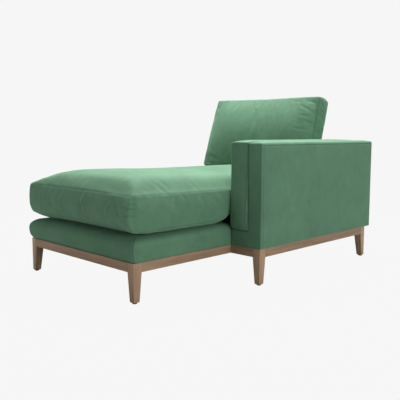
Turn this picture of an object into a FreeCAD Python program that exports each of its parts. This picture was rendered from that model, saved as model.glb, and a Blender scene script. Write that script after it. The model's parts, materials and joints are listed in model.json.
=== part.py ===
import FreeCAD, Part
import math
import os
from FreeCAD import Vector

os.makedirs("parts", exist_ok=True)

# All sizes are millimetres. While it is built, the chaise stands with the left side of its seat
# at x 0, the foot end of its plinth at y 0 and the floor at z 0. x runs towards the arm, y
# towards the back and z up. At the end everything moves so that the origin is the middle of the
# footprint, on the floor.

# Layout of the upholstery
seat_width = 786.0
overall_depth = 1487.0
arm_setback = 554.0
arm_top = 616.0
back_top = 624.0
seat_block_height = 93.2
arm_pad_width = 96.0
arm_slab_width = 74.0
arm_base_height = 71.2
back_thickness = 170.0

# Wooden plinth
rail_underside = 122.0
rail_height = 38.0
rail_thickness = 24.0
leg_section = 39.0
foot_section = 27.0
foot_chamfer = 1.6
leg_edge_radius = 2.5
rail_edge_radius = 1.5
plinth_rear_inset = 44.0
arm_overhang = 3.0
arm_front_inset = 2.0
glide_height = 5.0
glide_radius = 10.0
glide_pin_radius = 1.6
glide_pin_length = 16.0
glide_chamfer = 1.2
block_leg = 52.0
block_clearance = 2.0
dowel_radius = 4.0
dowel_half_length = 18.0
dowel_spread = 20.0
end_screw_shares = (0.3, 0.7)
side_screw_shares = (0.25, 0.5, 0.75)

# Fasteners
bore_clearance = 0.06
leg_bolt_radius = 3.0
leg_bolt_length = 52.0
leg_washer_radius = 8.0
leg_washer_thickness = 1.5
hex_head_radius = 6.5
hex_head_height = 5.0
screw_radius = 2.4
screw_head_radius = 4.4
screw_head_height = 3.0
screw_recess = 10.0
screw_length = 46.0
frame_bolt_radius = 4.0
frame_bolt_height = 32.0
frame_hex_radius = 8.0
thread_end = 3.0
side_bolt_shares = (0.2, 0.55, 0.9)
rear_bolt_shares = (0.2, 0.5, 0.8)
pad_screw_shares = (0.3, 0.75)

# Upholstery layers
dust_cloth = 0.8
dust_cloth_inset = 4.0
cover_thickness = 2.0
wrap_thickness = 10.0
felt_thickness = 5.0

# Seat block
board_thickness = 22.0
board_height = 59.2
cross_bar_height = 34.0
cross_bar_width = 45.0
cross_bar_count = 2
seat_corner_radius = 16.0
seat_side_bulge = 5.0
seat_left_bulge = 15.0
seat_tuck = 3.0
seat_top_rounding = 20.0

# Sinuous springs across the seat
spring_wire = 3.8
spring_width = 52.0
spring_pitch = 30.0
spring_count = 9
spring_end_margin = 62.0
clip_width = 22.0
clip_length = 15.0
clip_height = 6.0

# Arm and back frames
panel_thickness = 4.0
post_depth = 54.0
frame_rail_height = 22.0
arm_edge_radius = 7.0
back_edge_radius = 18.0
back_foam = 26.0
webbing_thickness = 2.0
webbing_width = 60.0
webbing_count = 5
webbing_margin = 60.0
pad_crown = 12.0
pad_lower_radius = 18.0
pad_upper_radius = 7.0
pad_side_bulge = 1.5
pad_front_rounding = 7.0
pad_board_thickness = 9.0

# Loose seat cushion
cushion_gap = 0.3
seat_seam_rise = 16.0
seat_gusset = 141.0
seat_crown = 77.0
seat_sag = 40.0
seat_shoulder = 105.0
shoulder_rise = 0.86
shoulder_fullness = 0.68
seat_front_bulge = 20.0
seat_front_turn = 65.0
seat_seam_draw = 3.0
seat_left_draw = 6.0
seat_side_swell = 4.0
seat_front_run = 260.0
seat_rear_run = 400.0
seat_corner_lift = 16.0
seat_rear_lift = 6.0
seat_left_lift = 26.0
seat_right_lift = 8.0
seat_pinch_lift = 30.0
pinch_lead = 14.0
pinch_run = 80.0
zip_width = 12.0
zip_length = 560.0
zip_thickness = 1.6
fibre_thickness = 20.0

# Loose back cushion, which leans more at its left end than at its right
back_cushion_left_margin = 20.0
back_cushion_right_margin = 16.0
back_cushion_height = 414.0
back_cushion_edge = 84.0
back_front_crown = 44.0
back_rear_crown = 36.0
back_edge_swell = 7.0
back_end_bulge = 8.0
back_end_draw = 22.0
left_lean = 19.0
right_lean = 12.0
left_foot_gap = 167.0
right_foot_gap = 145.0
left_foot_rise = 5.0
right_foot_rise = -19.0
rest_slope = 15.0
rest_sink = 22.0

# The back cushion's crown from its end to its middle: share of the width, share of the crown
back_crown_profile = [(0.0, 0.12), (0.09, 0.52), (0.24, 0.88), (0.5, 1.0)]

# The seat block's side from its foot to its top: share of the height, then how far out the front
# and the left side stand there, as a share of their bulge
block_side_profile = [(0.2, 0.6, 0.5), (0.48, 1.0, 1.0), (0.76, 0.4, 0.65)]

# Modelling allowances: how far joined solids run into each other, how far a cutting block runs
# past what it cuts, a length beyond every piece, and how fine the footprint is measured
weld = 1.0
cut_margin = 50.0
beyond = 2000.0
footprint_step = 0.5
flat_tolerance = 0.01

# Places worked out from the sizes above
plinth_top = rail_underside + rail_height
base = plinth_top + dust_cloth
seat_block_top = base + seat_block_height
arm_inner = seat_width
arm_seam = arm_inner + arm_pad_width
arm_outer = arm_seam + arm_slab_width
back_front = overall_depth - back_thickness
plinth_right = arm_outer - arm_overhang
plinth_rear = overall_depth - plinth_rear_inset
plinth_arm_front = arm_setback - arm_front_inset
frame_inset = cover_thickness + wrap_thickness
board_top = base + board_height
felt_bottom = board_top + clip_height
felt_top = felt_bottom + felt_thickness
arm_base_top = base + arm_base_height
seat_seam_low = seat_block_top + seat_seam_rise
seat_seam_high = seat_seam_low + seat_gusset
cushion_rear = back_front - cushion_gap
rest_front = back_front - left_foot_gap
rest_height = seat_seam_high + seat_crown - rest_sink
back_cushion_left = back_cushion_left_margin
back_cushion_right = seat_width - back_cushion_right_margin
round_off = 1 - math.sqrt(0.5)


def box(x0, x1, y0, y1, z0, z1):
    return Part.makeBox(x1 - x0, y1 - y0, z1 - z0, Vector(x0, y0, z0))


def rod(radius, start, end):
    way = end - start
    return Part.makeCylinder(radius, way.Length, start, way)


def line(a, b):
    return Part.LineSegment(a, b).toShape()


def arc(a, b, c):
    return Part.Arc(a, b, c).toShape()


def prism(points, way):
    outline = Part.makePolygon(points + points[:1])
    return Part.Face(outline).extrude(way)


def hexagon(radius, height, start, way):
    turned = FreeCAD.Rotation(Vector(0, 0, 1), way)
    corners = [
        start + turned.multVec(Vector(radius * math.cos(a), radius * math.sin(a), 0))
        for a in [math.radians(60 * k) for k in range(6)]
    ]
    return prism(corners, way.normalize() * height)


def lies_on(edge, planes):
    b = edge.BoundBox
    spans = {"x": (b.XMin, b.XMax), "y": (b.YMin, b.YMax), "z": (b.ZMin, b.ZMax)}
    return all(abs(end - planes[axis]) < flat_tolerance for axis in planes for end in spans[axis])


def round_edges(solid, radius, lines):
    edges = [e for e in solid.Edges if any(lies_on(e, planes) for planes in lines)]
    return solid.makeFillet(radius, edges)


def without(solid, tools):
    near = [t for t in tools if t.BoundBox.intersect(solid.BoundBox)]
    return solid.cut(near) if near else solid


def group(solids):
    return Part.makeCompound(solids)


# Wooden plinth

def leg_square(corner, inward, near, far, z):
    x, y = corner
    sx, sy = inward
    steps = [(near, near), (far, near), (far, far), (near, far)]
    points = [Vector(x + sx * a, y + sy * b, z) for a, b in steps]
    return Part.makePolygon(points + points[:1])


def leg(corner, inward):
    """A square post down past the rails, tapered on its two inner faces, its outer ones upright."""
    sections = [
        leg_square(corner, inward, foot_chamfer, foot_section - foot_chamfer, glide_height),
        leg_square(corner, inward, 0, foot_section, glide_height + foot_chamfer),
        leg_square(corner, inward, 0, leg_section, rail_underside),
        leg_square(corner, inward, 0, leg_section, plinth_top),
    ]
    post = Part.makeLoft(sections, True, True).removeSplitter()
    return round_edges(post, leg_edge_radius, [{"x": corner[0], "y": corner[1]}])


def foot_centre(corner, inward):
    half = foot_section / 2
    return corner[0] + inward[0] * half, corner[1] + inward[1] * half


def glide(corner, inward):
    x, y = foot_centre(corner, inward)
    pad = rod(glide_radius, Vector(x, y, 0), Vector(x, y, glide_height))
    pad = pad.makeChamfer(glide_chamfer, [e for e in pad.Edges if lies_on(e, {"z": 0})])
    pin_top = Vector(x, y, glide_height + glide_pin_length)
    pin = rod(glide_pin_radius, Vector(x, y, glide_height - weld), pin_top)
    return pad.fuse(pin).removeSplitter()


def glide_hole(corner, inward):
    x, y = foot_centre(corner, inward)
    top = glide_height + glide_pin_length + bore_clearance
    return rod(glide_pin_radius + bore_clearance, Vector(x, y, 0), Vector(x, y, top))


def corner_block(corner, inward):
    """A glue block that fills the corner behind a leg, up to both rails' inner faces."""
    x, y = corner
    sx, sy = inward
    r, s, b = rail_thickness, leg_section, leg_section + block_leg
    outline = [(s, r), (b, r), (r, b), (r, s), (s, s)]
    points = [Vector(x + sx * u, y + sy * v, rail_underside + block_clearance) for u, v in outline]
    return prism(points, Vector(0, 0, rail_height - 2 * block_clearance))


def leg_bolt_line(corner, inward):
    """The seat of a leg bolt's washer, on the block's slanted face, and the way into the leg."""
    x, y = corner
    sx, sy = inward
    reach = (rail_thickness + leg_section + block_leg) / 2
    seat = Vector(x + sx * reach, y + sy * reach, rail_underside + rail_height / 2)
    return seat, Vector(-sx, -sy, 0).normalize()


def leg_bolt(corner, inward, extra):
    seat, way = leg_bolt_line(corner, inward)
    start = seat - way * (leg_washer_thickness + weld)
    return rod(leg_bolt_radius + extra, start, seat + way * (leg_bolt_length + extra))


def leg_bolt_with_head(corner, inward):
    seat, way = leg_bolt_line(corner, inward)
    head_seat = seat - way * leg_washer_thickness
    shank = rod(leg_bolt_radius, head_seat - way * weld, seat + way * leg_bolt_length)
    head = hexagon(hex_head_radius, hex_head_height, head_seat, Vector(way) * -1)
    return head.fuse(shank).removeSplitter()


def leg_washer(corner, inward):
    seat, way = leg_bolt_line(corner, inward)
    disc = rod(leg_washer_radius, seat - way * leg_washer_thickness, seat)
    return disc.cut(leg_bolt(corner, inward, bore_clearance))


def dowel_pair(x, y, along, extra):
    """Two dowels, one above the other, across the joint at (x, y)."""
    middle = rail_underside + rail_height / 2
    reach = Vector(along[0], along[1], 0) * (dowel_half_length + extra)
    pair = []
    for side in (-1, 1):
        centre = Vector(x, y, middle + side * dowel_spread / 2)
        pair.append(rod(dowel_radius + extra, centre - reach, centre + reach))
    return pair


def dowel_joints():
    """Where each rail meets a leg or another rail, and the way that its dowels run."""
    half = rail_thickness / 2
    s = leg_section
    across, along = (1, 0), (0, 1)
    return [
        (s, half, across),
        (seat_width - s, half, across),
        (half, s, along),
        (seat_width - half, s, along),
        (half, plinth_rear - s, along),
        (seat_width - half, plinth_arm_front, along),
        (rail_thickness, plinth_arm_front + half, across),
        (plinth_right - s, plinth_arm_front + half, across),
        (plinth_right - half, plinth_arm_front + s, along),
        (plinth_right - half, plinth_rear - s, along),
        (plinth_right - s, plinth_rear - half, across),
        (s, plinth_rear - half, across),
    ]


LEGS = {
    "leg_front_left": ((0.0, 0.0), (1, 1)),
    "leg_front_right": ((seat_width, 0.0), (-1, 1)),
    "leg_arm_front": ((plinth_right, plinth_arm_front), (-1, 1)),
    "leg_back_right": ((plinth_right, plinth_rear), (-1, -1)),
    "leg_back_left": ((0.0, plinth_rear), (1, -1)),
}


def rail(x0, x1, y0, y1, outer_lines):
    bar = box(x0, x1, y0, y1, rail_underside, plinth_top)
    return round_edges(bar, rail_edge_radius, outer_lines)


def rails():
    t, s = rail_thickness, leg_section
    low = rail_underside
    front, right, rear = plinth_arm_front, plinth_right, plinth_rear
    return {
        "front_rail": rail(s, seat_width - s, 0, t, [{"y": 0, "z": low}, {"y": t, "z": low}]),
        "left_rail": rail(0, t, s, rear - s, [{"x": 0, "z": low}, {"x": t, "z": low}]),
        "chaise_side_rail": rail(
            seat_width - t, seat_width, s, front,
            [{"x": seat_width, "z": low}, {"x": seat_width - t, "z": low}],
        ),
        "middle_rail": rail(
            t, right - s, front, front + t, [{"y": front, "z": low}, {"y": front + t, "z": low}]
        ),
        "arm_side_rail": rail(
            right - t, right, front + s, rear - s, [{"x": right, "z": low}, {"x": right - t, "z": low}]
        ),
        "back_rail": rail(
            s, right - s, rear - t, rear, [{"y": rear, "z": low}, {"y": rear - t, "z": low}]
        ),
    }


def inner_corner_block():
    """The block inside the corner where the chaise side rail ends on the middle rail."""
    x, y = seat_width - rail_thickness, plinth_arm_front
    z = rail_underside + block_clearance
    points = [Vector(x, y, z), Vector(x - block_leg, y, z), Vector(x, y - block_leg, z)]
    return prism(points, Vector(0, 0, rail_height - 2 * block_clearance))


def plinth_screw_places():
    """Places under the rails where a screw goes up into the frame above."""
    edge = (frame_inset + rail_thickness) / 2
    rear_line = plinth_rear - rail_thickness / 2
    span = plinth_rear - plinth_arm_front
    places = [(seat_width * share, y) for y in (edge, rear_line) for share in end_screw_shares]
    places += [(seat_width - edge, plinth_arm_front * share) for share in end_screw_shares]
    places += [(edge, plinth_rear * share) for share in side_screw_shares]
    places += [(plinth_right - edge, plinth_arm_front + span * share) for share in side_screw_shares]
    return places


def plinth_screw(x, y, extra):
    """A screw up through a rail, its head sunk in a recess. With extra it is the hole for one."""
    start = rail_underside + screw_recess
    head_low = rail_underside - weld if extra else start
    head_top = start + screw_head_height
    head = rod(screw_head_radius + extra, Vector(x, y, head_low), Vector(x, y, head_top))
    shank_top = Vector(x, y, start + screw_length + extra)
    return head.fuse(rod(screw_radius + extra, Vector(x, y, start), shank_top)).removeSplitter()


# Seat block

def rounded_plan(x0, x1, y0, y1, r, z):
    """A rectangle with round corners, as a wire at height z."""
    k = r * round_off
    corner_arcs = [
        (Vector(x0, y0 + r, z), Vector(x0 + k, y0 + k, z), Vector(x0 + r, y0, z)),
        (Vector(x1 - r, y0, z), Vector(x1 - k, y0 + k, z), Vector(x1, y0 + r, z)),
        (Vector(x1, y1 - r, z), Vector(x1 - k, y1 - k, z), Vector(x1 - r, y1, z)),
        (Vector(x0 + r, y1, z), Vector(x0 + k, y1 - k, z), Vector(x0, y1 - r, z)),
    ]
    edges = []
    for i, (a, b, c) in enumerate(corner_arcs):
        edges.append(arc(a, b, c))
        edges.append(line(c, corner_arcs[(i + 1) % 4][0]))
    return Part.Wire(edges)


def seat_block_form(inset):
    """The padded seat block: tucked in at the plinth, swelling half way up, rounded at the top."""
    h = seat_block_height - inset
    top = -seat_top_rounding
    # share of the height, how far the front stands out, the left side, the right side
    steps = [(0.0, -seat_tuck, -seat_tuck * 2, 0)]
    for share, front, left in block_side_profile:
        steps.append((share, front * seat_side_bulge, left * seat_left_bulge, 0))
    steps += [(0.92, top / 4, 0, top / 7), (1.0, top, top, top)]
    wires = [
        rounded_plan(
            inset - left, seat_width + right - inset, inset - front, back_front - inset,
            seat_corner_radius, base + share * h,
        )
        for share, front, left, right in steps
    ]
    right = seat_width - inset
    arm_side = box(
        right, right + cut_margin, -cut_margin, overall_depth, 0, seat_block_top + cut_margin
    )
    return Part.makeLoft(wires, True, False).cut(arm_side)


def seat_boards():
    f, t = frame_inset, board_thickness
    right, rear = seat_width - f, back_front - f
    boards = {
        "base_front_board": box(f, right, f, f + t, base, board_top),
        "base_rear_board": box(f, right, rear - t, rear, base, board_top),
        "base_left_board": box(f, f + t, f + t, rear - t, base, board_top),
        "base_right_board": box(right - t, right, f + t, rear - t, base, board_top),
    }
    bars = []
    for k in range(cross_bar_count):
        y = rear * (k + 1) / (cross_bar_count + 1)
        bars.append(box(f + t, right - t, y, y + cross_bar_width, base, base + cross_bar_height))
    boards["base_cross_bars"] = group(bars)
    return boards


def spring_ends():
    """The lines along the two side boards where the springs' end bars lie."""
    middle = frame_inset + board_thickness / 2
    return middle, seat_width - middle


def spring_lines():
    first = frame_inset + spring_end_margin
    last = back_front - frame_inset - spring_end_margin
    return [first + (last - first) * k / (spring_count - 1) for k in range(spring_count)]


def sinuous_spring(y):
    """One zigzag wire from side board to side board: straight bars joined by half circles."""
    start, end = spring_ends()
    bars = round((end - start) / spring_pitch)
    pitch = (end - start) / bars
    turn = pitch / 2
    half = spring_width / 2 - turn
    z = board_top + spring_wire / 2
    edges = []
    for k in range(bars + 1):
        x = start + k * pitch
        side = 1 if k % 2 == 0 else -1
        edges.append(line(Vector(x, y - side * half, z), Vector(x, y + side * half, z)))
        if k < bars:
            a = Vector(x, y + side * half, z)
            b = Vector(x + turn, y + side * (half + turn), z)
            c = Vector(x + pitch, y + side * half, z)
            edges.append(arc(a, b, c))
    path = Part.Wire(edges)
    circle = Part.Circle(Vector(start, y - half, z), Vector(0, 1, 0), spring_wire / 2)
    return path.makePipeShell([Part.Wire(circle.toShape())], True, False)


def spring_clip(x, y):
    """A clip over a spring's end bar, standing on the board."""
    block = box(
        x - clip_length / 2, x + clip_length / 2, y - clip_width / 2, y + clip_width / 2,
        board_top, board_top + clip_height,
    )
    z = board_top + spring_wire / 2
    near, far = Vector(x, y - clip_width, z), Vector(x, y + clip_width, z)
    return block.cut(rod(spring_wire / 2 + bore_clearance, near, far))


def frame_cavity():
    """The space inside the seat block's foam wrap, up to the top of the felt."""
    f = frame_inset
    return box(f, seat_width - f, f, back_front - f, base - weld, felt_top)


# Back frame

def back_form(inset):
    top = back_top - inset
    near, far = back_front + inset, overall_depth - inset
    left, right = inset, seat_width - inset
    block = box(left, right, near, far, base, top)
    radius = back_edge_radius - inset
    lines = [{"y": near, "z": top}, {"y": far, "z": top}, {"x": left, "z": top}]
    lines += [{"x": left, "y": near}, {"x": left, "y": far}, {"x": right, "z": top}]
    return round_edges(block, radius, lines)


def back_frame():
    f, t = frame_inset, board_thickness
    left, right = f, seat_width - f
    near = back_front + cover_thickness + back_foam + webbing_thickness
    far = overall_depth - f - panel_thickness
    top = back_top - back_edge_radius
    posts = [box(left, left + t, near, far, base, top), box(right - t, right, near, far, base, top)]
    webbing = []
    pitch = (top - base - 2 * webbing_margin) / (webbing_count - 1)
    for k in range(webbing_count):
        low = base + webbing_margin + pitch * k - webbing_width / 2
        webbing.append(box(left, right, near - webbing_thickness, near, low, low + webbing_width))
    return {
        "back_posts": group(posts),
        "back_top_rail": box(left + t, right - t, near, far, top - frame_rail_height, top),
        "back_bottom_rail": box(left + t, right - t, near, near + t, base, base + board_height),
        "back_foot_board": box(left + t, right - t, near + t, far, base, base + frame_rail_height),
        "back_panel": box(left, right, far, far + panel_thickness, base, top),
        "back_webbing": group(webbing),
    }


def back_cavity():
    f = frame_inset
    near = back_front + cover_thickness + back_foam
    top = back_top - back_edge_radius
    return box(f, seat_width - f, near, overall_depth - f, base - weld, top)


# Arm

def arm_form(inset):
    """The arm's flat outer slab and the low base that its pad stands over, as one L."""
    top = arm_top - inset
    left, right = arm_seam + inset, arm_outer - inset
    near, far = arm_setback + inset, overall_depth - inset
    slab = box(left, right, near, far, base, top)
    lines = [{"x": right, "y": near}, {"x": right, "y": far}, {"x": right, "z": top}]
    lines += [{"y": near, "z": top}, {"y": far, "z": top}]
    slab = round_edges(slab, arm_edge_radius - inset, lines)
    foot = box(arm_inner + inset, left + arm_edge_radius, near, far, base, arm_base_top - inset)
    return slab.fuse(foot).removeSplitter()


def arm_cavity():
    f = frame_inset
    near, far = arm_setback + f, overall_depth - f
    slab = box(arm_seam + f, arm_outer - f, near, far, base - weld, arm_top - f)
    foot = box(arm_inner + f, arm_seam + f + weld, near, far, base - weld, arm_base_top - f)
    return slab.fuse(foot).removeSplitter()


def arm_frame():
    f, p = frame_inset, panel_thickness
    left, right = arm_seam + f + p, arm_outer - f - p
    near, far = arm_setback + f, overall_depth - f
    top = arm_top - f
    low_top = arm_base_top - f
    posts = [
        box(left, right, near, near + post_depth, base, top),
        box(left, right, far - post_depth, far, base, top),
    ]
    inner, seam = arm_inner + f, left - p
    t = board_thickness
    base_boards = [
        box(inner, inner + t, near, far, base, low_top),
        box(inner + t, seam, near, near + t, base, low_top),
        box(inner + t, seam, far - t, far, base, low_top),
    ]
    y0, y1 = near + post_depth, far - post_depth
    return {
        "arm_posts": group(posts),
        "arm_top_rail": box(left, right, y0, y1, top - frame_rail_height, top),
        "arm_bottom_rail": box(left, right, y0, y1, base, base + frame_rail_height * 2),
        "arm_outer_panel": box(right, right + p, near, far, base, top),
        "arm_inner_panel": box(left - p, left, near, far, base, top),
        "arm_base_boards": group(base_boards),
    }


def pad_section(y, inset, shrink):
    """The arm pad cut across: flat on the slab, full on its inner side, crowned on top."""
    s = inset + shrink
    x0, x1 = arm_inner + s, arm_seam - inset
    z0, z1 = arm_base_top + s, arm_top - s
    edge = x0 + pad_side_bulge
    r, q = pad_lower_radius, pad_upper_radius
    k = round_off

    def at(x, z):
        return Vector(x, y, z)

    lower = (at(edge + r, z0), at(edge + r * k, z0 + r * k), at(edge, z0 + r))
    upper = (at(edge, z1 - q), at(edge + q * k, z1 - q * k), at(edge + q, z1))
    bulged = at(x0, (z0 + z1) / 2)
    crown = at((edge + q + x1) / 2, z1 + pad_crown)
    edges = [
        line(at(x1, z0), lower[0]),
        arc(*lower),
        arc(lower[2], bulged, upper[0]),
        arc(*upper),
        arc(upper[2], crown, at(x1, z1)),
        line(at(x1, z1), at(x1, z0)),
    ]
    return Part.Wire(edges)


def pad_form(inset):
    """The whole arm pad, its front and rear edges rounded in three sections each."""
    near, far = arm_setback + inset, overall_depth - inset
    r = pad_front_rounding
    turns = [math.radians(a) for a in (0, 45, 75)]
    # how far from the end, how much smaller
    steps = [(r * (math.sin(turns[-1]) - math.sin(a)), r * (1 - math.cos(a))) for a in turns]
    front = Part.makeLoft([pad_section(near + y, inset, s) for y, s in steps], True, False)
    rear = Part.makeLoft([pad_section(far - y, inset, s) for y, s in steps], True, False)
    ends = [pad_section(y, inset, 0) for y in (near + steps[0][0], far - steps[0][0])]
    whole = Part.makeLoft(ends, True, True).fuse([front, rear]).removeSplitter()
    left = arm_inner + inset
    return whole.cut(box(left - cut_margin, left, 0, overall_depth, 0, arm_top))


def pad_board():
    s = cover_thickness + pad_lower_radius
    x = arm_seam - pad_board_thickness
    near, far = arm_setback + s, overall_depth - s
    return box(x, arm_seam, near, far, arm_base_top + s, arm_top - s)


def pad_screw_lines():
    half = post_depth / 2
    near, far = arm_setback + frame_inset + half, overall_depth - frame_inset - half
    heights = [arm_base_top + (arm_top - arm_base_top) * share for share in pad_screw_shares]
    return [Vector(arm_seam, y, z) for y in (near, far) for z in heights]


def pad_screw(place, extra):
    head_start = place - Vector(pad_board_thickness + screw_head_height, 0, 0)
    neck = place - Vector(pad_board_thickness, 0, 0)
    tip = neck + Vector(screw_length + extra, 0, 0)
    head = rod(screw_head_radius + extra, head_start - Vector(extra, 0, 0), neck)
    return head.fuse(rod(screw_radius + extra, head_start, tip)).removeSplitter()


# Bolts between the frames

def frame_bolt_lines():
    """Where bolts pull the arm and the back against the seat frame: seat, way and grip."""
    f, t = frame_inset, board_thickness
    z = base + frame_bolt_height
    lines = []
    side_start = seat_width - f - t
    side_grip = 2 * f + 2 * t
    for share in side_bolt_shares:
        y = arm_setback + (back_front - arm_setback) * share
        lines.append((Vector(side_start, y, z), Vector(1, 0, 0), side_grip))
    rear_start = back_front - f - t
    rear_end = back_front + cover_thickness + back_foam + webbing_thickness + t
    for share in rear_bolt_shares:
        start = Vector(seat_width * share, rear_start, z)
        lines.append((start, Vector(0, 1, 0), rear_end - rear_start))
    return lines


def frame_bolt(seat, way, grip, extra):
    """A bolt with its head inside the seat frame and room for a nut past what it holds."""
    end = seat + way * (grip + hex_head_height + thread_end)
    shank = rod(frame_bolt_radius + extra, seat - way * weld, end)
    if extra:
        return shank
    head = hexagon(frame_hex_radius, hex_head_height, seat, Vector(way) * -1)
    return head.fuse(shank).removeSplitter()


def frame_nut(seat, way, grip):
    start = seat + way * grip
    nut = hexagon(frame_hex_radius, hex_head_height, start, Vector(way))
    return nut.cut(frame_bolt(seat, way, grip, bore_clearance))


# Loose seat cushion

def seat_section(y, lows, high, crown, draw, inset):
    """The cushion cut across: gussets swell between their seams, and shoulders carry the crown."""
    left = draw + seat_left_draw + inset
    right = seat_width - cushion_gap - draw - inset
    low_left, low_right, high = lows[0] + inset, lows[1] + inset, high - inset
    middle, low_middle = (left + right) / 2, (low_left + low_right) / 2
    reach, rise = seat_shoulder - inset, crown * shoulder_rise
    knee, knee_rise = reach * (1 - shoulder_fullness * shoulder_rise), rise * shoulder_fullness
    sag = seat_sag * crown / seat_crown + weld
    swell = min(seat_side_swell, draw)

    def at(x, z):
        return Vector(x, y, z)

    edges = [
        arc(at(left, low_left), at(middle, low_middle - sag), at(right, low_right)),
        arc(at(right, low_right), at(right + swell, (low_right + high) / 2), at(right, high)),
        arc(at(right, high), at(right - knee, high + knee_rise), at(right - reach, high + rise)),
        arc(at(right - reach, high + rise), at(middle, high + crown), at(left + reach, high + rise)),
        arc(at(left + reach, high + rise), at(left + knee, high + knee_rise), at(left, high)),
        arc(at(left, high), at(left - swell, (low_left + high) / 2), at(left, low_left)),
    ]
    return Part.Wire(edges)


def rest_prism(lift, above):
    """The half space over or under the sloping rest where the back cushion stands on the seat."""
    fall = beyond * math.tan(math.radians(rest_slope))
    height = rest_height + lift
    side = beyond * 2 if above else -beyond * 2
    points = [
        Vector(-beyond, rest_front - beyond, height + fall),
        Vector(-beyond, rest_front + beyond, height - fall),
        Vector(-beyond, rest_front + beyond, height + side),
        Vector(-beyond, rest_front - beyond, height + side),
    ]
    return prism(points, Vector(beyond * 2, 0, 0))


def ease(share):
    """A smooth step from 0 to 1."""
    held = min(max(share, 0), 1)
    return held * held * (3 - 2 * held)


def seat_body_section(y, near, far, inset):
    """The section at y of the cushion's long body, which runs from near to far."""
    front_share = 1 - ease((y - near) / seat_front_run)
    rear_share = 1 - ease((far - y) / pinch_run)
    beside_arm = ease((y - arm_setback + pinch_lead + pinch_run) / pinch_run)
    crown_front = 1 - max(1 - (y - near) / seat_front_run, 0) ** 4.5
    crown_rear = 1 - max(1 - (far - y) / seat_rear_run, 0) ** 3.2
    low_left = seat_seam_low + seat_left_lift * front_share
    low_right = seat_seam_low + seat_right_lift * front_share + seat_pinch_lift * beside_arm
    high = seat_seam_high + seat_corner_lift * front_share ** 3 + seat_rear_lift * rear_share
    crown = max(seat_crown * min(crown_front, crown_rear), weld * 2)
    return seat_section(y, (low_left, low_right), high, crown, seat_seam_draw + beside_arm, inset)


def seat_nose_section(turn, near, inset):
    """A section of the front gusset's round, from 0 degrees at the seams to its furthest turn."""
    low, high = seat_seam_low + seat_right_lift, seat_seam_high + seat_corner_lift
    angle, last = math.radians(turn), math.radians(seat_front_turn)
    half = (high - low) / 2 * math.cos(angle)
    middle = (low + high) / 2
    y = near - seat_front_bulge * math.sin(angle) / math.sin(last)
    draw = seat_seam_draw + seat_front_bulge / 2 * (1 - math.cos(angle))
    return seat_section(y, (middle - half, middle - half), middle + half, weld * 2, draw, inset)


def seat_cushion_form(inset, rear_inset):
    """A boxed cushion with crowned top and bottom panels, flat where it lies on the seat block."""
    near, far = inset, cushion_rear - rear_inset
    pinch = arm_setback - pinch_lead
    stations = [near + seat_front_run * share for share in (0, 0.17, 0.42, 1)]
    stations += [pinch - pinch_run, pinch, pinch + 2 * pinch_run]
    stations += [far - seat_rear_run * share for share in (0.82, 0.42, 0.15, 0)]
    body = [seat_body_section(y, near, far, inset) for y in stations]
    nose = [seat_nose_section(seat_front_turn * share, near, inset) for share in (1, 0.62)]
    front = Part.makeLoft(nose + [seat_body_section(near, near, far, inset)], True, False)
    bottom = seat_block_top + cushion_gap + inset
    under = box(
        -cut_margin, seat_width + cut_margin, -cut_margin, overall_depth, bottom - cut_margin, bottom
    )
    return Part.makeLoft(body, True, False).fuse(front).cut([under, rest_prism(-inset, True)])


def seat_zip(extra):
    """A zip let into the middle of the rear gusset. With extra it is its slot."""
    middle_x = seat_width / 2
    z = (seat_seam_low + seat_pinch_lift + seat_seam_high) / 2
    half, tall = zip_length / 2 + extra, zip_width / 2 + extra
    near = cushion_rear - cover_thickness
    far = near + zip_thickness
    if extra:
        near, far = near - weld, cushion_rear + weld
    return box(middle_x - half, middle_x + half, near, far, z - tall, z + tall)


# Loose back cushion

def back_section(x, shrink, crown, inset):
    """The cushion cut from front to back at x: a leaning box with its front and rear swollen."""
    share = (x - back_cushion_left) / (back_cushion_right - back_cushion_left)
    lean = math.radians(left_lean + (right_lean - left_lean) * share)
    gap = left_foot_gap + (right_foot_gap - left_foot_gap) * share
    foot_z = rest_height + left_foot_rise + (right_foot_rise - left_foot_rise) * share
    up = Vector(0, math.sin(lean), math.cos(lean))
    back = Vector(0, math.cos(lean), -math.sin(lean))
    s = inset + shrink
    foot = Vector(x, back_front - gap, foot_z) + up * s + back * s
    tall, deep = back_cushion_height - 2 * s, back_cushion_edge - 2 * s
    front_top, rear_top, rear_foot = foot + up * tall, foot + up * tall + back * deep, foot + back * deep
    swell = back_edge_swell
    edges = [
        arc(foot, foot + up * tall / 2 - back * back_front_crown * crown, front_top),
        arc(front_top, front_top + back * deep / 2 + up * swell, rear_top),
        arc(rear_top, rear_top - up * tall / 2 + back * back_rear_crown * crown, rear_foot),
        arc(rear_foot, rear_foot - back * deep / 2 - up * swell, foot),
    ]
    return Part.Wire(edges)


def back_cushion_form(inset):
    left, right = back_cushion_left + inset, back_cushion_right - inset
    width = right - left
    # place along the width, how much smaller the edge is, share of the crown
    half = [(share, 0, crown) for share, crown in back_crown_profile]
    body_steps = half + [(1 - share, 0, crown) for share, shrink, crown in half[-2::-1]]
    flat = back_crown_profile[0][1]
    bulge = back_end_bulge / width
    end_steps = [
        (-bulge, back_end_draw, flat * 2 / 3), (-bulge * 0.7, back_end_draw / 2, flat * 5 / 6), (0, 0, flat)
    ]
    other_steps = [(1 - share, shrink, crown) for share, shrink, crown in end_steps]
    lofts = [
        Part.makeLoft([back_section(left + width * p, d, c, inset) for p, d, c in steps], True, False)
        for steps in (body_steps, end_steps, other_steps)
    ]
    whole = lofts[0].fuse(lofts[1:])
    wall = cushion_rear - inset
    top = back_top + cushion_gap + inset
    frame_side = box(-cut_margin, seat_width + cut_margin, wall, overall_depth + cut_margin, 0, top)
    return whole.cut([frame_side, rest_prism(cushion_gap + inset, False)])


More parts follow.
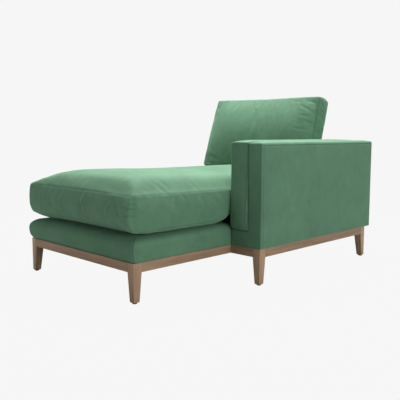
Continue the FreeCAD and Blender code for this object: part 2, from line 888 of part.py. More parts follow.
def back_zip(extra):
    """A zip let into the bottom of the cover, on the sloping rest. With extra it is its slot."""
    slope = math.radians(rest_slope)
    along = Vector(0, math.cos(slope), -math.sin(slope))
    normal = Vector(0, math.sin(slope), math.cos(slope))
    half, wide = zip_length / 2 + extra, zip_width / 2 + extra
    top = (cushion_gap + cover_thickness) * math.cos(slope)
    low = top - zip_thickness
    if extra:
        low, top = -weld, top + weld
    middle_x = (back_cushion_left + back_cushion_right) / 2
    centre = Vector(middle_x - half, rest_front, rest_height) + along * (back_cushion_edge / 2)
    corners = [
        centre + along * side * wide + normal * height
        for side, height in ((-1, low), (1, low), (1, top), (-1, top))
    ]
    return prism(corners, Vector(half * 2, 0, 0))


# All the pieces

def plinth_nodes(dowel_holes, screw_holes):
    nodes = {}
    legs = LEGS.values()
    bolt_holes = [leg_bolt(c, i, bore_clearance) for c, i in legs]
    glide_holes = [glide_hole(c, i) for c, i in legs]
    for name, bar in rails().items():
        nodes[name] = without(bar, dowel_holes + screw_holes)
    for name, (corner, inward) in LEGS.items():
        nodes[name] = without(leg(corner, inward), dowel_holes + bolt_holes + glide_holes)
    blocks = [without(corner_block(c, i), bolt_holes) for c, i in legs]
    nodes["corner_blocks"] = group(blocks + [inner_corner_block()])
    nodes["leg_bolts"] = group([leg_bolt_with_head(c, i) for c, i in legs])
    nodes["leg_washers"] = group([leg_washer(c, i) for c, i in legs])
    nodes["foot_glides"] = group([glide(c, i) for c, i in legs])
    nodes["rail_dowels"] = group([d for j in dowel_joints() for d in dowel_pair(*j, 0)])
    nodes["plinth_screws"] = group([plinth_screw(x, y, 0) for x, y in plinth_screw_places()])
    return nodes


def dust_cover():
    """The cloth under the frames, in the shape of the whole footprint."""
    edge = dust_cloth_inset
    right, arm_side = seat_width - edge, arm_outer - edge
    arm_front, rear = arm_setback + edge, overall_depth - edge
    outline = [
        (edge, edge), (right, edge), (right, arm_front),
        (arm_side, arm_front), (arm_side, rear), (edge, rear),
    ]
    return prism([Vector(x, y, plinth_top) for x, y in outline], Vector(0, 0, dust_cloth))


def seat_block_nodes(screw_holes, frame_holes):
    nodes = {"dust_cover": without(dust_cover(), screw_holes)}
    for name, piece in seat_boards().items():
        nodes[name] = without(piece, screw_holes + frame_holes)
    nodes["seat_springs"] = group([sinuous_spring(y) for y in spring_lines()])
    nodes["spring_clips"] = group([spring_clip(x, y) for y in spring_lines() for x in spring_ends()])
    f = frame_inset
    nodes["deck_felt"] = box(f, seat_width - f, f, back_front - f, felt_bottom, felt_top)
    inside = seat_block_form(cover_thickness)
    nodes["seat_block_padding"] = without(inside.cut(frame_cavity()), frame_holes)
    nodes["seat_block_cover"] = without(seat_block_form(0).cut(inside), frame_holes)
    return nodes


def back_nodes(screw_holes, frame_holes):
    nodes = {n: without(p, screw_holes + frame_holes) for n, p in back_frame().items()}
    inside = back_form(cover_thickness)
    nodes["back_padding"] = without(inside.cut(back_cavity()), frame_holes)
    nodes["back_cover"] = without(back_form(0).cut(inside), frame_holes)
    return nodes


def arm_nodes(screw_holes, frame_holes):
    pad_holes = [pad_screw(p, bore_clearance) for p in pad_screw_lines()]
    all_holes = screw_holes + frame_holes + pad_holes
    nodes = {n: without(p, all_holes) for n, p in arm_frame().items()}
    inside = arm_form(cover_thickness)
    nodes["arm_wadding"] = without(inside.cut(arm_cavity()), frame_holes + pad_holes)
    nodes["arm_cover"] = without(arm_form(0).cut(inside), frame_holes + pad_holes)

    pad_inside = pad_form(cover_thickness)
    board = pad_board()
    b = board.BoundBox
    board_room = box(
        arm_seam - cover_thickness - weld, arm_seam + weld, b.YMin, b.YMax, b.ZMin, b.ZMax
    )
    nodes["arm_pad_board"] = without(board, pad_holes)
    nodes["arm_pad_foam"] = without(pad_inside.cut(board), pad_holes)
    nodes["arm_pad_cover"] = pad_form(0).cut(pad_inside).cut(board_room)
    nodes["arm_pad_screws"] = group([pad_screw(p, 0) for p in pad_screw_lines()])
    return nodes


def seat_cushion_nodes():
    c = cover_thickness
    inside = seat_cushion_form(c, c)
    core = seat_cushion_form(c + fibre_thickness, c)
    return {
        "seat_cushion_cover": seat_cushion_form(0, 0).cut(inside).cut(seat_zip(bore_clearance)),
        "seat_cushion_zip": seat_zip(0),
        "seat_cushion_wrap": inside.cut(core),
        "seat_cushion_foam": core,
    }


def back_cushion_nodes():
    inside = back_cushion_form(cover_thickness)
    return {
        "back_cushion_cover": back_cushion_form(0).cut(inside).cut(back_zip(bore_clearance)),
        "back_cushion_zip": back_zip(0),
        "back_cushion_fill": inside,
    }


def build():
    dowel_holes = [d for j in dowel_joints() for d in dowel_pair(*j, bore_clearance)]
    screw_holes = [plinth_screw(x, y, bore_clearance) for x, y in plinth_screw_places()]
    frame_holes = [frame_bolt(*b, bore_clearance) for b in frame_bolt_lines()]
    nodes = plinth_nodes(dowel_holes, screw_holes)
    nodes.update(seat_block_nodes(screw_holes, frame_holes))
    nodes.update(back_nodes(screw_holes, frame_holes))
    nodes.update(arm_nodes(screw_holes, frame_holes))
    nodes["frame_bolts"] = group([frame_bolt(*b, 0) for b in frame_bolt_lines()])
    nodes["frame_nuts"] = group([frame_nut(*b) for b in frame_bolt_lines()])
    nodes.update(seat_cushion_nodes())
    nodes.update(back_cushion_nodes())
    return nodes


def footprint(nodes):
    """The lowest and highest x and y that any piece reaches."""
    points = [p for shape in nodes.values() for p in shape.tessellate(footprint_step)[0]]
    xs, ys = [p.x for p in points], [p.y for p in points]
    return min(xs), max(xs), min(ys), max(ys)


def main():
    nodes = build()
    x0, x1, y0, y1 = footprint(nodes)
    shift = Vector(-(x0 + x1) / 2, -(y0 + y1) / 2, 0)
    for name, shape in nodes.items():
        shape.translate(shift)
        shape.exportStep("parts/" + name + ".step")


main()
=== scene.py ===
import math
import bpy
import numpy as np
from bpy.props import FloatProperty, FloatVectorProperty, PointerProperty
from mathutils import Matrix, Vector, noise
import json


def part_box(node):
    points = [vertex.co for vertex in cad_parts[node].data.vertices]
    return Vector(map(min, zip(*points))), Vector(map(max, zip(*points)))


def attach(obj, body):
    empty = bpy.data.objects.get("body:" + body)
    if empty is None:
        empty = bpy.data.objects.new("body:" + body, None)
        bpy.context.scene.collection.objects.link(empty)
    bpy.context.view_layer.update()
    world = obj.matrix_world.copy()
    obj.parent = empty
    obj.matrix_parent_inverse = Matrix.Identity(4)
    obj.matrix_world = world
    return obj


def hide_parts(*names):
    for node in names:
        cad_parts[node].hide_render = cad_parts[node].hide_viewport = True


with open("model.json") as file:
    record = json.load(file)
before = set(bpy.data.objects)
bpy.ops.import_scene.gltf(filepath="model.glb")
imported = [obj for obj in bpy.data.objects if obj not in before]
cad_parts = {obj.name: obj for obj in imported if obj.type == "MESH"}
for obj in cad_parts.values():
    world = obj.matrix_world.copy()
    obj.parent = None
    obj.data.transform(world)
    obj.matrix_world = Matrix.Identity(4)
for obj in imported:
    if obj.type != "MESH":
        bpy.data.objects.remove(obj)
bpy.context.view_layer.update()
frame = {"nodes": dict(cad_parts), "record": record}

bl_info = {
    "name": "Chaise armchair",
    "version": (1, 0, 0),
    "blender": (4, 5, 0),
    "location": "3D View > Sidebar > Chaise",
    "description": "Dresses the chaise's frame in velvet, stained ash and its fittings",
    "category": "Object",
}

# Places that the soft pieces take from the frame
SEAT_LOW, SEAT_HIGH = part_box("seat_block_cover")
PLINTH_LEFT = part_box("left_rail")[0].x
PLINTH_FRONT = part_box("front_rail")[0].y
ARM_LOW, ARM_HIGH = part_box("arm_cover")
PAD_LOW, PAD_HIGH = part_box("arm_pad_cover")
BACK_LOW, BACK_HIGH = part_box("back_cover")
CUSHION_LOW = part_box("seat_cushion_cover")[0]
PILLOW_LOW, PILLOW_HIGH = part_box("back_cushion_cover")
PILLOW_SLOPE = math.radians(15)  # tilt of the plane that the back cushion stands on

BACK_FACE = BACK_LOW.y - 0.0006  # the nearest that a cushion comes to the back's cover

TINY = 1e-6  # a micrometre: slack in tests of place, and the least length in a division
ON_SEAM = 1e-5  # the same slack for places that a subdivision has evened out


class ChaiseSizes(bpy.types.PropertyGroup):
    """Sizes of the upholstery that a user would change."""

    cloth_cell: FloatProperty(
        name="Cloth cell", description="Side of a quad in the soft pieces' meshes",
        default=0.012, min=0.006, unit="LENGTH",
    )
    seam_width: FloatProperty(
        name="Seam width", description="How far a seam draws the cloth in on each side of it",
        default=0.0028, unit="LENGTH",
    )
    seam_depth: FloatProperty(
        name="Seam depth", description="How deep a seam lies in the cloth",
        default=0.0013, unit="LENGTH",
    )
    seat_seam_rise: FloatProperty(
        name="Lower seam",
        description="Height of the seat cushion's lower seam above the seat block",
        default=0.016, unit="LENGTH",
    )
    seat_gusset: FloatProperty(
        name="Seat gusset", description="Height of the seat cushion's side strip",
        default=0.141, unit="LENGTH",
    )
    seat_crown: FloatProperty(
        name="Seat crown", description="How far the seat cushion's top rises over its upper seam",
        default=0.0825, unit="LENGTH",
    )
    pillow_height: FloatProperty(
        name="Back cushion height", description="Height of the back cushion between its seams",
        default=0.414, unit="LENGTH",
    )
    pillow_depth: FloatProperty(
        name="Back gusset", description="Depth of the back cushion's side strip",
        default=0.084, unit="LENGTH",
    )


class ChaiseColours(bpy.types.PropertyGroup):
    """Colours of the finishes that show."""

    velvet: FloatVectorProperty(
        name="Velvet", description="The pile's own colour", subtype="COLOR",
        default=(0.093, 0.206, 0.123), min=0, max=1,
    )
    wood: FloatVectorProperty(
        name="Wood", description="The plinth's stained ash", subtype="COLOR",
        default=(0.412, 0.268, 0.168), min=0, max=1,
    )
    floor: FloatVectorProperty(
        name="Floor", description="The pale studio floor", subtype="COLOR",
        default=(0.9216, 0.9216, 0.9216), min=0, max=1,
    )


def sizes():
    """The sizes as they are set in the scene."""
    return bpy.context.scene.chaise_sizes


def colours():
    """The colours as they are set in the scene."""
    return bpy.context.scene.chaise_colours


# Node helpers for the materials

def add(tree, kind, values=None, **settings):
    """A new node with its settings, and with values on its unlinked inputs."""
    node = tree.nodes.new(kind)
    for name, value in settings.items():
        setattr(node, name, value)
    for name, value in (values or {}).items():
        node.inputs[name].default_value = value
    return node


def feed(tree, socket, value):
    """Links an output into a socket, or sets a plain value on it."""
    if isinstance(value, bpy.types.NodeSocket):
        tree.links.new(value, socket)
    else:
        socket.default_value = value


def new_material(name):
    """A material with a Principled shader: the material, its tree and the shader."""
    material = bpy.data.materials.new(name)
    material.use_nodes = True
    tree = material.node_tree
    return material, tree, tree.nodes["Principled BSDF"]


def noise_node(tree, scale, detail=3.0, stretch=(1, 1, 1), shift=(0, 0, 0), roughness=0.5):
    """Noise on object coordinates, stretched along the axes; its Factor output."""
    place = add(tree, "ShaderNodeTexCoord")
    mapping = add(tree, "ShaderNodeMapping", {"Scale": stretch, "Location": shift})
    pattern = add(
        tree, "ShaderNodeTexNoise", {"Scale": scale, "Detail": detail, "Roughness": roughness}
    )
    tree.links.new(place.outputs["Object"], mapping.inputs["Vector"])
    tree.links.new(mapping.outputs["Vector"], pattern.inputs["Vector"])
    return pattern.outputs["Fac"]


def remap(tree, value, low, high, to_low=0.0, to_high=1.0):
    """A value's range mapped onto another one, and held at its ends."""
    node = add(
        tree, "ShaderNodeMapRange",
        {"From Min": low, "From Max": high, "To Min": to_low, "To Max": to_high},
    )
    tree.links.new(value, node.inputs["Value"])
    return node.outputs["Result"]


def mix_colours(tree, factor, first, second):
    """A mix of two colours; these and the factor are sockets or plain values."""
    node = add(tree, "ShaderNodeMix", data_type="RGBA")
    feed(tree, node.inputs["Factor"], factor)
    for name, colour in (("A", first), ("B", second)):
        feed(tree, next(s for s in node.inputs if s.name == name and s.type == "RGBA"), colour)
    return next(s for s in node.outputs if s.type == "RGBA")


def add_bump(tree, shader, height, distance, strength=1.0, below=None):
    """A bump from a height socket, over an earlier bump where there is one."""
    node = add(tree, "ShaderNodeBump", {"Strength": strength, "Distance": distance})
    tree.links.new(height, node.inputs["Height"])
    if below:
        tree.links.new(below, node.inputs["Normal"])
    tree.links.new(node.outputs["Normal"], shader.inputs["Normal"])
    return node.outputs["Normal"]


def shade(colour, factor):
    """A colour made lighter or darker, with its alpha."""
    return tuple(min(1.0, c * factor) for c in colour) + (1.0,)


def velvet(name="velvet_pile", sheen=0.344):
    """Short-pile velvet: nap brushed in soft patches, a fine pile, and painted shade at seams and
    grooves.
    """
    found = bpy.data.materials.get(name)
    if found:
        return found
    material, tree, shader = new_material(name)
    colour = tuple(colours().velvet)
    patches = remap(tree, noise_node(tree, 9.0, 4.0), 0.34, 0.66)
    streaks = remap(tree, noise_node(tree, 38.0, 3.0, (1, 1, 0.8), (3, 1, 2)), 0.32, 0.68)
    pile = remap(tree, noise_node(tree, 900.0, 2.0, (1, 1, 0.7)), 0.3, 0.7)
    brushed = mix_colours(tree, patches, shade(colour, 0.88), shade(colour, 1.12))
    streaked = mix_colours(tree, streaks, shade(colour, 0.88), shade(colour, 1.12))
    cloth = mix_colours(tree, 0.45, brushed, streaked)
    # Painted shade: where the sewn attribute marks a seam or a groove, the colour darkens toward a
    # quarter of itself
    crease = add(tree, "ShaderNodeAttribute", attribute_name="sewn")
    depth = remap(tree, crease.outputs["Fac"], 0.0, 2.0, 0.0, 0.6)
    seam_shaded = mix_colours(tree, depth, cloth, shade(colour, 0.25))
    tree.links.new(seam_shaded, shader.inputs["Base Color"])
    tree.links.new(remap(tree, pile, 0, 1, 0.78, 0.96), shader.inputs["Roughness"])
    shader.inputs["Specular IOR Level"].default_value = 0.4
    shader.inputs["Sheen Weight"].default_value = sheen
    shader.inputs["Sheen Roughness"].default_value = 0.42
    shader.inputs["Sheen Tint"].default_value = (0.6, 1.0, 0.69, 1)
    soft = add_bump(tree, shader, patches, 0.0016, 0.5)
    add_bump(tree, shader, pile, 0.0004, 0.6, soft)
    return material


def wood(name, colour, along, roughness=0.5, contrast=1.0, ends=None):
    """Straight-grained timber along one axis, 0 for x to 2 for z, with a dark joint at its ends."""
    found = bpy.data.materials.get(name)
    if found:
        return found
    material, tree, shader = new_material(name)
    stretch = [1.0, 1.0, 1.0]
    stretch[along] = 0.07
    bands = remap(tree, noise_node(tree, 55.0, 5.0, stretch, roughness=0.65), 0.32, 0.68)
    stretch[along] = 0.025
    pores = remap(tree, noise_node(tree, 420.0, 2.0, stretch, (1, 2, 3)), 0.52, 0.72)
    dark, light = shade(colour, 1 - 0.2 * contrast), shade(colour, 1 + 0.16 * contrast)
    tone = mix_colours(tree, bands, dark, light)
    depth = remap(tree, pores, 0.0, 1.0, 0.0, 0.5 * contrast)
    grain = mix_colours(tree, depth, tone, shade(colour, 0.5))
    if ends:
        grain = mix_colours(tree, near_ends(tree, along, ends), grain, shade(colour, 0.3))
    tree.links.new(grain, shader.inputs["Base Color"])
    dullness = remap(tree, pores, 0, 1, roughness, roughness + 0.15)
    tree.links.new(dullness, shader.inputs["Roughness"])
    shader.inputs["Specular IOR Level"].default_value = 0.35
    add_bump(tree, shader, remap(tree, pores, 0, 1, 1, 0), 0.0003, 0.5)
    return material


def near_ends(tree, along, ends):
    """How dark a rail's joints are: 0.85 in the last millimetre at either end, 0 between them."""
    middle, half = (ends[0] + ends[1]) / 2, (ends[1] - ends[0]) / 2
    place = add(tree, "ShaderNodeTexCoord")
    apart = add(tree, "ShaderNodeSeparateXYZ")
    away = add(tree, "ShaderNodeMath", {1: middle}, operation="SUBTRACT")
    size = add(tree, "ShaderNodeMath", operation="ABSOLUTE")
    tree.links.new(place.outputs["Object"], apart.inputs["Vector"])
    tree.links.new(apart.outputs[along], away.inputs[0])
    tree.links.new(away.outputs["Value"], size.inputs[0])
    return remap(tree, size.outputs["Value"], half - 0.0024, half - 0.001, 0.0, 0.85)


def plain(name, colour, roughness, metallic=0.0, scale=180.0, depth=0.0002, stretch=(1, 1, 1)):
    """A finish with a fine grain of its own: foam, felt, plastic, zinc or cloth."""
    found = bpy.data.materials.get(name)
    if found:
        return found
    material, tree, shader = new_material(name)
    grain = remap(tree, noise_node(tree, scale, 4.0, stretch), 0.3, 0.7)
    wide = remap(tree, noise_node(tree, 14.0, 2.0), 0.3, 0.7)
    tone = mix_colours(tree, grain, shade(colour, 0.86), shade(colour, 1.1))
    worn = mix_colours(tree, remap(tree, wide, 0, 1, 0, 0.4), tone, shade(colour, 0.82))
    tree.links.new(worn, shader.inputs["Base Color"])
    tree.links.new(
        remap(tree, grain, 0, 1, roughness - 0.08, roughness + 0.08), shader.inputs["Roughness"]
    )
    shader.inputs["Metallic"].default_value = metallic
    add_bump(tree, shader, grain, depth, 0.6)
    return material


def woven(name, colour, pitch):
    """A woven strap or tape: warp and weft as two crossing waves."""
    found = bpy.data.materials.get(name)
    if found:
        return found
    material, tree, shader = new_material(name)
    place = add(tree, "ShaderNodeTexCoord")
    crossings = []
    for direction in ("X", "Z"):
        wave = add(
            tree, "ShaderNodeTexWave", {"Scale": 1 / (pitch * 20)}, bands_direction=direction
        )
        tree.links.new(place.outputs["Object"], wave.inputs["Vector"])
        crossings.append(wave.outputs["Fac"])
    weave = add(tree, "ShaderNodeMath", operation="MULTIPLY")
    tree.links.new(crossings[0], weave.inputs[0])
    tree.links.new(crossings[1], weave.inputs[1])
    tone = mix_colours(tree, weave.outputs["Value"], shade(colour, 0.6), shade(colour, 1.2))
    tree.links.new(tone, shader.inputs["Base Color"])
    shader.inputs["Roughness"].default_value = 0.85
    add_bump(tree, shader, weave.outputs["Value"], 0.0004, 0.7)
    return material


def zip_tape():
    """The zips' woven tape, dyed to go with the velvet."""
    return woven("zip_tape_weave", (0.06, 0.15, 0.09), 0.0012)


def zinc_steel():
    """Zinc-plated steel, for fasteners and for the zips' sliders."""
    return plain("zinc_steel_finish", (0.62, 0.62, 0.6), 0.35, 1.0)


def dust_cloth():
    """The black cloth under the frames."""
    return plain("dust_cloth_finish", (0.02, 0.02, 0.021), 0.9, scale=700.0)


# Mesh helpers for the soft pieces

def edged(length, step, near):
    """Places along an edge: at some distances from both ends, and step apart in between."""
    near = [0.0, *near]
    count = max(1, round((length - 2 * near[-1]) / step))
    middle = np.linspace(near[-1], length - near[-1], count + 1)
    return np.concatenate([near[:-1], middle, [length - n for n in near[-2::-1]]])


def graded(length, step, first, growth=1.6):
    """Places along an edge: close together at both ends, with gaps that grow up to a step."""
    near, gap = [0.0], first
    while gap < step and near[-1] + gap < length / 2 - step / 2:
        near.append(near[-1] + gap)
        gap *= growth
    return edged(length, step, near[1:])


def skin(xs, ys, zs, filled=None):
    """The outside of a block of cells as closed quads: lattice points and faces that point out."""
    shape = (len(xs) - 1, len(ys) - 1, len(zs) - 1)
    cells = np.ones(shape, bool) if filled is None else filled
    ringed = np.pad(cells, 1)
    quads = []
    for axis in range(3):
        for side in (1, -1):
            beside = np.roll(ringed, -side, axis)[1:-1, 1:-1, 1:-1]
            corner = list(np.nonzero(cells & ~beside))
            if side == 1:
                corner[axis] = corner[axis] + 1
            across, up = (axis + 1) % 3, (axis + 2) % 3
            turn = []
            for da, du in [(0, 0), (1, 0), (1, 1), (0, 1)][::side]:
                at = list(corner)
                at[across] = at[across] + da
                at[up] = at[up] + du
                turn.append((at[0] * len(ys) + at[1]) * len(zs) + at[2])
            quads.append(np.stack(turn, 1))
    faces = np.concatenate(quads)
    used, inverse = np.unique(faces, return_inverse=True)
    i, j, k = used // (len(ys) * len(zs)), used // len(zs) % len(ys), used % len(zs)
    points = np.stack([xs[i], ys[j], zs[k]], 1)
    return points, inverse.reshape(faces.shape)


def rounded(points, boxes, radius):
    """Points on the faces of some boxes, drawn in to a skin with round edges."""
    inner = away = reach = None
    for low, high in boxes:
        core = np.clip(points, np.array(low) + radius, np.array(high) - radius)
        offset = points - core
        far = np.linalg.norm(offset, axis=1)
        if reach is None:
            inner, away, reach = core, offset, far
        else:
            closer = far < reach
            inner[closer], away[closer], reach[closer] = core[closer], offset[closer], far[closer]
    scale = np.where(reach > radius, radius / np.maximum(reach, 1e-9), 1.0)
    return inner + away * scale[:, None]


def round_corners(placed, lattice, span, radius, axis=1, up=(0.0, 1.0, 0.0)):
    """Rounds the four corners that a block has in the plane of x and one more of its axes.

    The lattice runs from 0 to span on both, and up is where the second axis points.
    """
    result, up = placed.copy(), np.broadcast_to(up, placed.shape)
    for at_right in (False, True):
        for at_top in (False, True):
            dx = span[0] - lattice[:, 0] if at_right else lattice[:, 0]
            dz = span[1] - lattice[:, axis] if at_top else lattice[:, axis]
            near = (dx < radius) & (dz < radius)
            u, v = (radius - dx)[near], (radius - dz)[near]
            inward = 1 - np.maximum(u, v) / np.maximum(np.hypot(u, v), 1e-9)
            result[near, 0] += (-u if at_right else u) * inward
            result[near] += up[near] * ((-v if at_top else v) * inward)[:, None]
    return result


def make_piece(name, points, faces, material, cut=None):
    """A smooth mesh object; cut keeps each point's place on the flat pattern for later sewing."""
    mesh = bpy.data.meshes.new(name)
    mesh.from_pydata(points.tolist(), [], faces.tolist())
    mesh.polygons.foreach_set("use_smooth", [True] * len(mesh.polygons))
    mesh.materials.append(material)
    if cut is not None:
        kept = mesh.attributes.new("cut", "FLOAT_VECTOR", "POINT")
        kept.data.foreach_set("vector", cut.astype(np.float32).ravel())
    mesh.update()
    piece = bpy.data.objects.new(name, mesh)
    bpy.context.scene.collection.objects.link(piece)
    return piece


def take_cut(piece):
    """The points' places on the flat pattern, which leave the mesh with this call."""
    kept = piece.data.attributes["cut"]
    cut = read_vectors(kept.data, "vector")
    piece.data.attributes.remove(kept)
    return cut


def read_vectors(items, name):
    """One vector of each vertex, normal or attribute entry, as rows of three."""
    flat = np.zeros(len(items) * 3)
    items.foreach_get(name, flat)
    return flat.reshape(-1, 3)


def read_points(piece):
    """Where a piece's vertices are."""
    return read_vectors(piece.data.vertices, "co")


def write_points(piece, points):
    """Moves a piece's vertices to these points."""
    piece.data.vertices.foreach_set("co", points.astype(np.float32).ravel())
    piece.data.update()


def read_normals(piece):
    """Which way a piece's surface faces at its vertices."""
    return read_vectors(piece.data.vertex_normals, "vector")


def least(*distances):
    """The smallest of some distances, point by point."""
    return np.minimum.reduce(distances)


def ease(share):
    """A share with a smooth start and end, held between 0 and 1."""
    held = np.clip(share, 0.0, 1.0)
    return held * held * (3 - 2 * held)


def crown(sides, top):
    """A crown's rise from its seams: for each a distance and how steeply it starts, up to a top."""
    power = 4.3
    total = np.maximum(top, TINY) ** -power
    for distance, steepness in sides:
        total = total + np.maximum(steepness * distance, TINY) ** -power
    return total ** (-1 / power)


def swell(distance, run):
    """How full a crown is at a distance from its seam: 0 at the seam, near 1 past a few runs."""
    return 1 - np.exp(-np.maximum(distance, 0) / run)


def soft_noise(points, scale, seed):
    """Smooth noise at points, from about -1 to 1."""
    shift = Vector((seed * 7.3, seed * 3.1, seed * 5.7))
    return np.array([noise.noise(Vector(p) * scale + shift) for p in points.tolist()])


def to_path(points, path):
    """Distance of each point from a chain of straight runs, and its share of the way along."""
    nearest, share, gone = np.full(len(points), 1e9), np.zeros(len(points)), 0.0
    corners = [np.array(p, float) for p in path]
    total = sum(np.linalg.norm(b - a) for a, b in zip(corners, corners[1:]))
    for a, b in zip(corners, corners[1:]):
        way = b - a
        run = np.linalg.norm(way)
        along = np.clip((points - a) @ way / (run * run), 0, 1)
        far = np.linalg.norm(points - a - along[:, None] * way, axis=1)
        closer = far < nearest
        nearest[closer] = far[closer]
        share[closer] = (gone + along[closer] * run) / total
        gone += run
    return nearest, share


def fold(piece, cut, folds):
    """Presses soft folds along paths on the pattern: the path, its half width and its height."""
    points, normals = read_points(piece), read_normals(piece)
    lift = np.zeros(len(points))
    for path, width, height in folds:
        far, share = to_path(cut, path)
        ends = np.sin(np.pi * (0.06 + 0.88 * share))
        beside = np.exp(-(((far - 1.9 * width) / width) ** 2))
        lift += height * ends * (np.exp(-((far / width) ** 2)) - 0.45 * beside)
    write_points(piece, points + normals * lift[:, None])


def ruffle(piece, cut, scale, seed, height):
    """Raises and sinks a piece's surface by a soft noise over its pattern."""
    points = read_points(piece)
    points += read_normals(piece) * (soft_noise(cut, scale, seed) * height)[:, None]
    write_points(piece, points)


def sew(piece, distance, width, depth, groove=None):
    """Sinks a seam where distance is small, and marks it and a groove for the velvet's painted
    shade.
    """
    points, normals = read_points(piece), read_normals(piece)
    share = np.exp(-((distance / width) ** 2))
    shoulder = 0.08 * np.exp(-(((distance - width * 2.6) / (width * 1.2)) ** 2))
    write_points(piece, points + normals * ((shoulder - share) * depth)[:, None])
    if groove is not None:
        share = np.maximum(share, 2 * np.exp(-((groove / 0.003) ** 2)))
    # These marks paint shade into the velvet: up to 1 along a seam and 2 in a groove
    marks = piece.data.attributes.new("sewn", "FLOAT", "POINT")
    marks.data.foreach_set("value", share.astype(np.float32))


def soften(piece, weight, rounds):
    """Evens a mesh out where weight is near 1, by moving points to the mean of their neighbours."""
    mesh = piece.data
    ends = np.zeros(len(mesh.edges) * 2, np.int64)
    mesh.edges.foreach_get("vertices", ends)
    a, b = ends[0::2], ends[1::2]
    valence = np.bincount(ends, minlength=len(mesh.vertices))[:, None]
    points = read_points(piece)
    for _ in range(rounds):
        total = np.zeros_like(points)
        np.add.at(total, a, points[b])
        np.add.at(total, b, points[a])
        points += (total / valence - points) * (0.6 * weight)[:, None]
    write_points(piece, points)


def subdivide(piece, levels=1):
    """Applies a subdivision to a piece's mesh."""
    modifier = piece.modifiers.new("fine", "SUBSURF")
    modifier.levels = modifier.render_levels = levels
    modifier.boundary_smooth = "PRESERVE_CORNERS"
    apply_modifiers(piece)


def apply_modifiers(piece):
    """Turns what a piece's modifiers make of it into its own plain mesh."""
    bpy.context.view_layer.update()
    graph = bpy.context.evaluated_depsgraph_get()
    mesh = bpy.data.meshes.new_from_object(piece.evaluated_get(graph))
    old = piece.data
    piece.modifiers.clear()
    piece.data = mesh
    bpy.data.meshes.remove(old)
    mesh.polygons.foreach_set("use_smooth", [True] * len(mesh.polygons))


def inflate(piece, pins, pressure, slack, cap, frames=20):
    """Swells a closed cover by cloth simulation as its filling would, with its seams held.

    No point goes further than cap from where it was.
    """
    rest = read_points(piece)
    held = piece.vertex_groups.new(name="held")
    held.add([int(i) for i in pins], 1.0, "REPLACE")
    cloth = piece.modifiers.new("cloth", "CLOTH")
    cloth.settings.quality = 6
    cloth.settings.mass = 0.3
    cloth.settings.tension_stiffness = 12
    cloth.settings.compression_stiffness = 12
    cloth.settings.shear_stiffness = 5
    cloth.settings.bending_stiffness = 0.4
    cloth.settings.use_pressure = True
    cloth.settings.uniform_pressure_force = pressure
    cloth.settings.shrink_min = -slack
    cloth.settings.effector_weights.gravity = 0
    cloth.settings.vertex_group_mass = "held"
    cloth.point_cache.frame_end = frames
    for step in range(1, frames + 1):
        bpy.context.scene.frame_set(step)
    graph = bpy.context.evaluated_depsgraph_get()
    settled = read_vectors(piece.evaluated_get(graph).to_mesh().vertices, "co")
    piece.evaluated_get(graph).to_mesh_clear()
    piece.modifiers.clear()
    piece.vertex_groups.clear()
    bpy.context.scene.frame_set(1)
    moved = settled - rest
    length = np.maximum(np.linalg.norm(moved, axis=1), 1e-9)
    write_points(piece, rest + moved * (cap * np.tanh(length / cap) / length)[:, None])


def keep_below(points, normal, place):
    """Presses points that pass a plane back onto it."""
    n = np.array(normal) / np.linalg.norm(normal)
    past = np.maximum((points - np.array(place)) @ n, 0)
    return points - past[:, None] * n


# Seat block

def seat_block():
    """The padded block on the plinth: tight velvet that swells half way up and tucks in below."""
    s = sizes()
    low = np.array([PLINTH_LEFT, PLINTH_FRONT, SEAT_LOW.z])
    high = np.array([ARM_LOW.x - 0.0005, BACK_LOW.y, SEAT_HIGH.z])
    width, length, height = high - low
    corner, top_round = 0.009, 0.034
    near = (0.0015, 0.003, 0.005, 0.0075, 0.0105, 0.015, 0.022)
    cut, faces = skin(
        edged(width, s.cloth_cell, near), edged(length, s.cloth_cell, near),
        graded(height, 0.007, 0.002),
    )
    t = cut[:, 2] / height
    shoulder = np.clip((t - 0.62) / 0.38, 0, 1)
    round_in = top_round * (1 - np.sqrt(1 - shoulder**2))
    belly = np.sin(np.pi * np.clip(t / 0.96, 0, 1)) ** 0.8
    ripple = 0.0011 * (np.sin(cut[:, 0] * 31 + 2) + np.sin(cut[:, 1] * 23 + 1)) * belly
    tuck = 0.004 * np.clip(1 - t / 0.14, 0, 1)
    front = round_in + tuck - 0.006 * belly - ripple
    left = round_in + tuck * 1.5 - 0.0145 * belly - ripple
    right = 1.15 * round_in - 0.001 * belly * (cut[:, 1] < ARM_LOW.y - low[1] - 0.01)
    x = left + cut[:, 0] / width * (width - left - right)
    y = front + cut[:, 1] / length * (length - front)
    deck = soft_noise(cut, 5.0, 3) * 0.0015 * (t > 0.99)
    placed = np.stack([x, y, t * height + deck], 1) + low
    placed = round_corners(placed, cut, (width, length), corner)
    # Painted shade: the block wears a copy of the velvet with less sheen, standing for the shade
    # under the seat cushion
    piece = make_piece("seat_block_upholstery", placed, faces, velvet("velvet_pile_in_shade", 0.1))
    # The side faces' seam near the front gets a line of painted shade, marked as both seam and
    # groove
    on_side = (cut[:, 0] < TINY) | (cut[:, 0] > width - TINY)
    seam = np.where(on_side, np.abs(cut[:, 1] - 0.003), 1.0)
    sew(piece, seam, s.seam_width * 0.9, s.seam_depth * 1.8, seam)
    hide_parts("seat_block_cover", "seat_block_padding")
    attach(piece, "frame")
    return piece


# Seat cushion

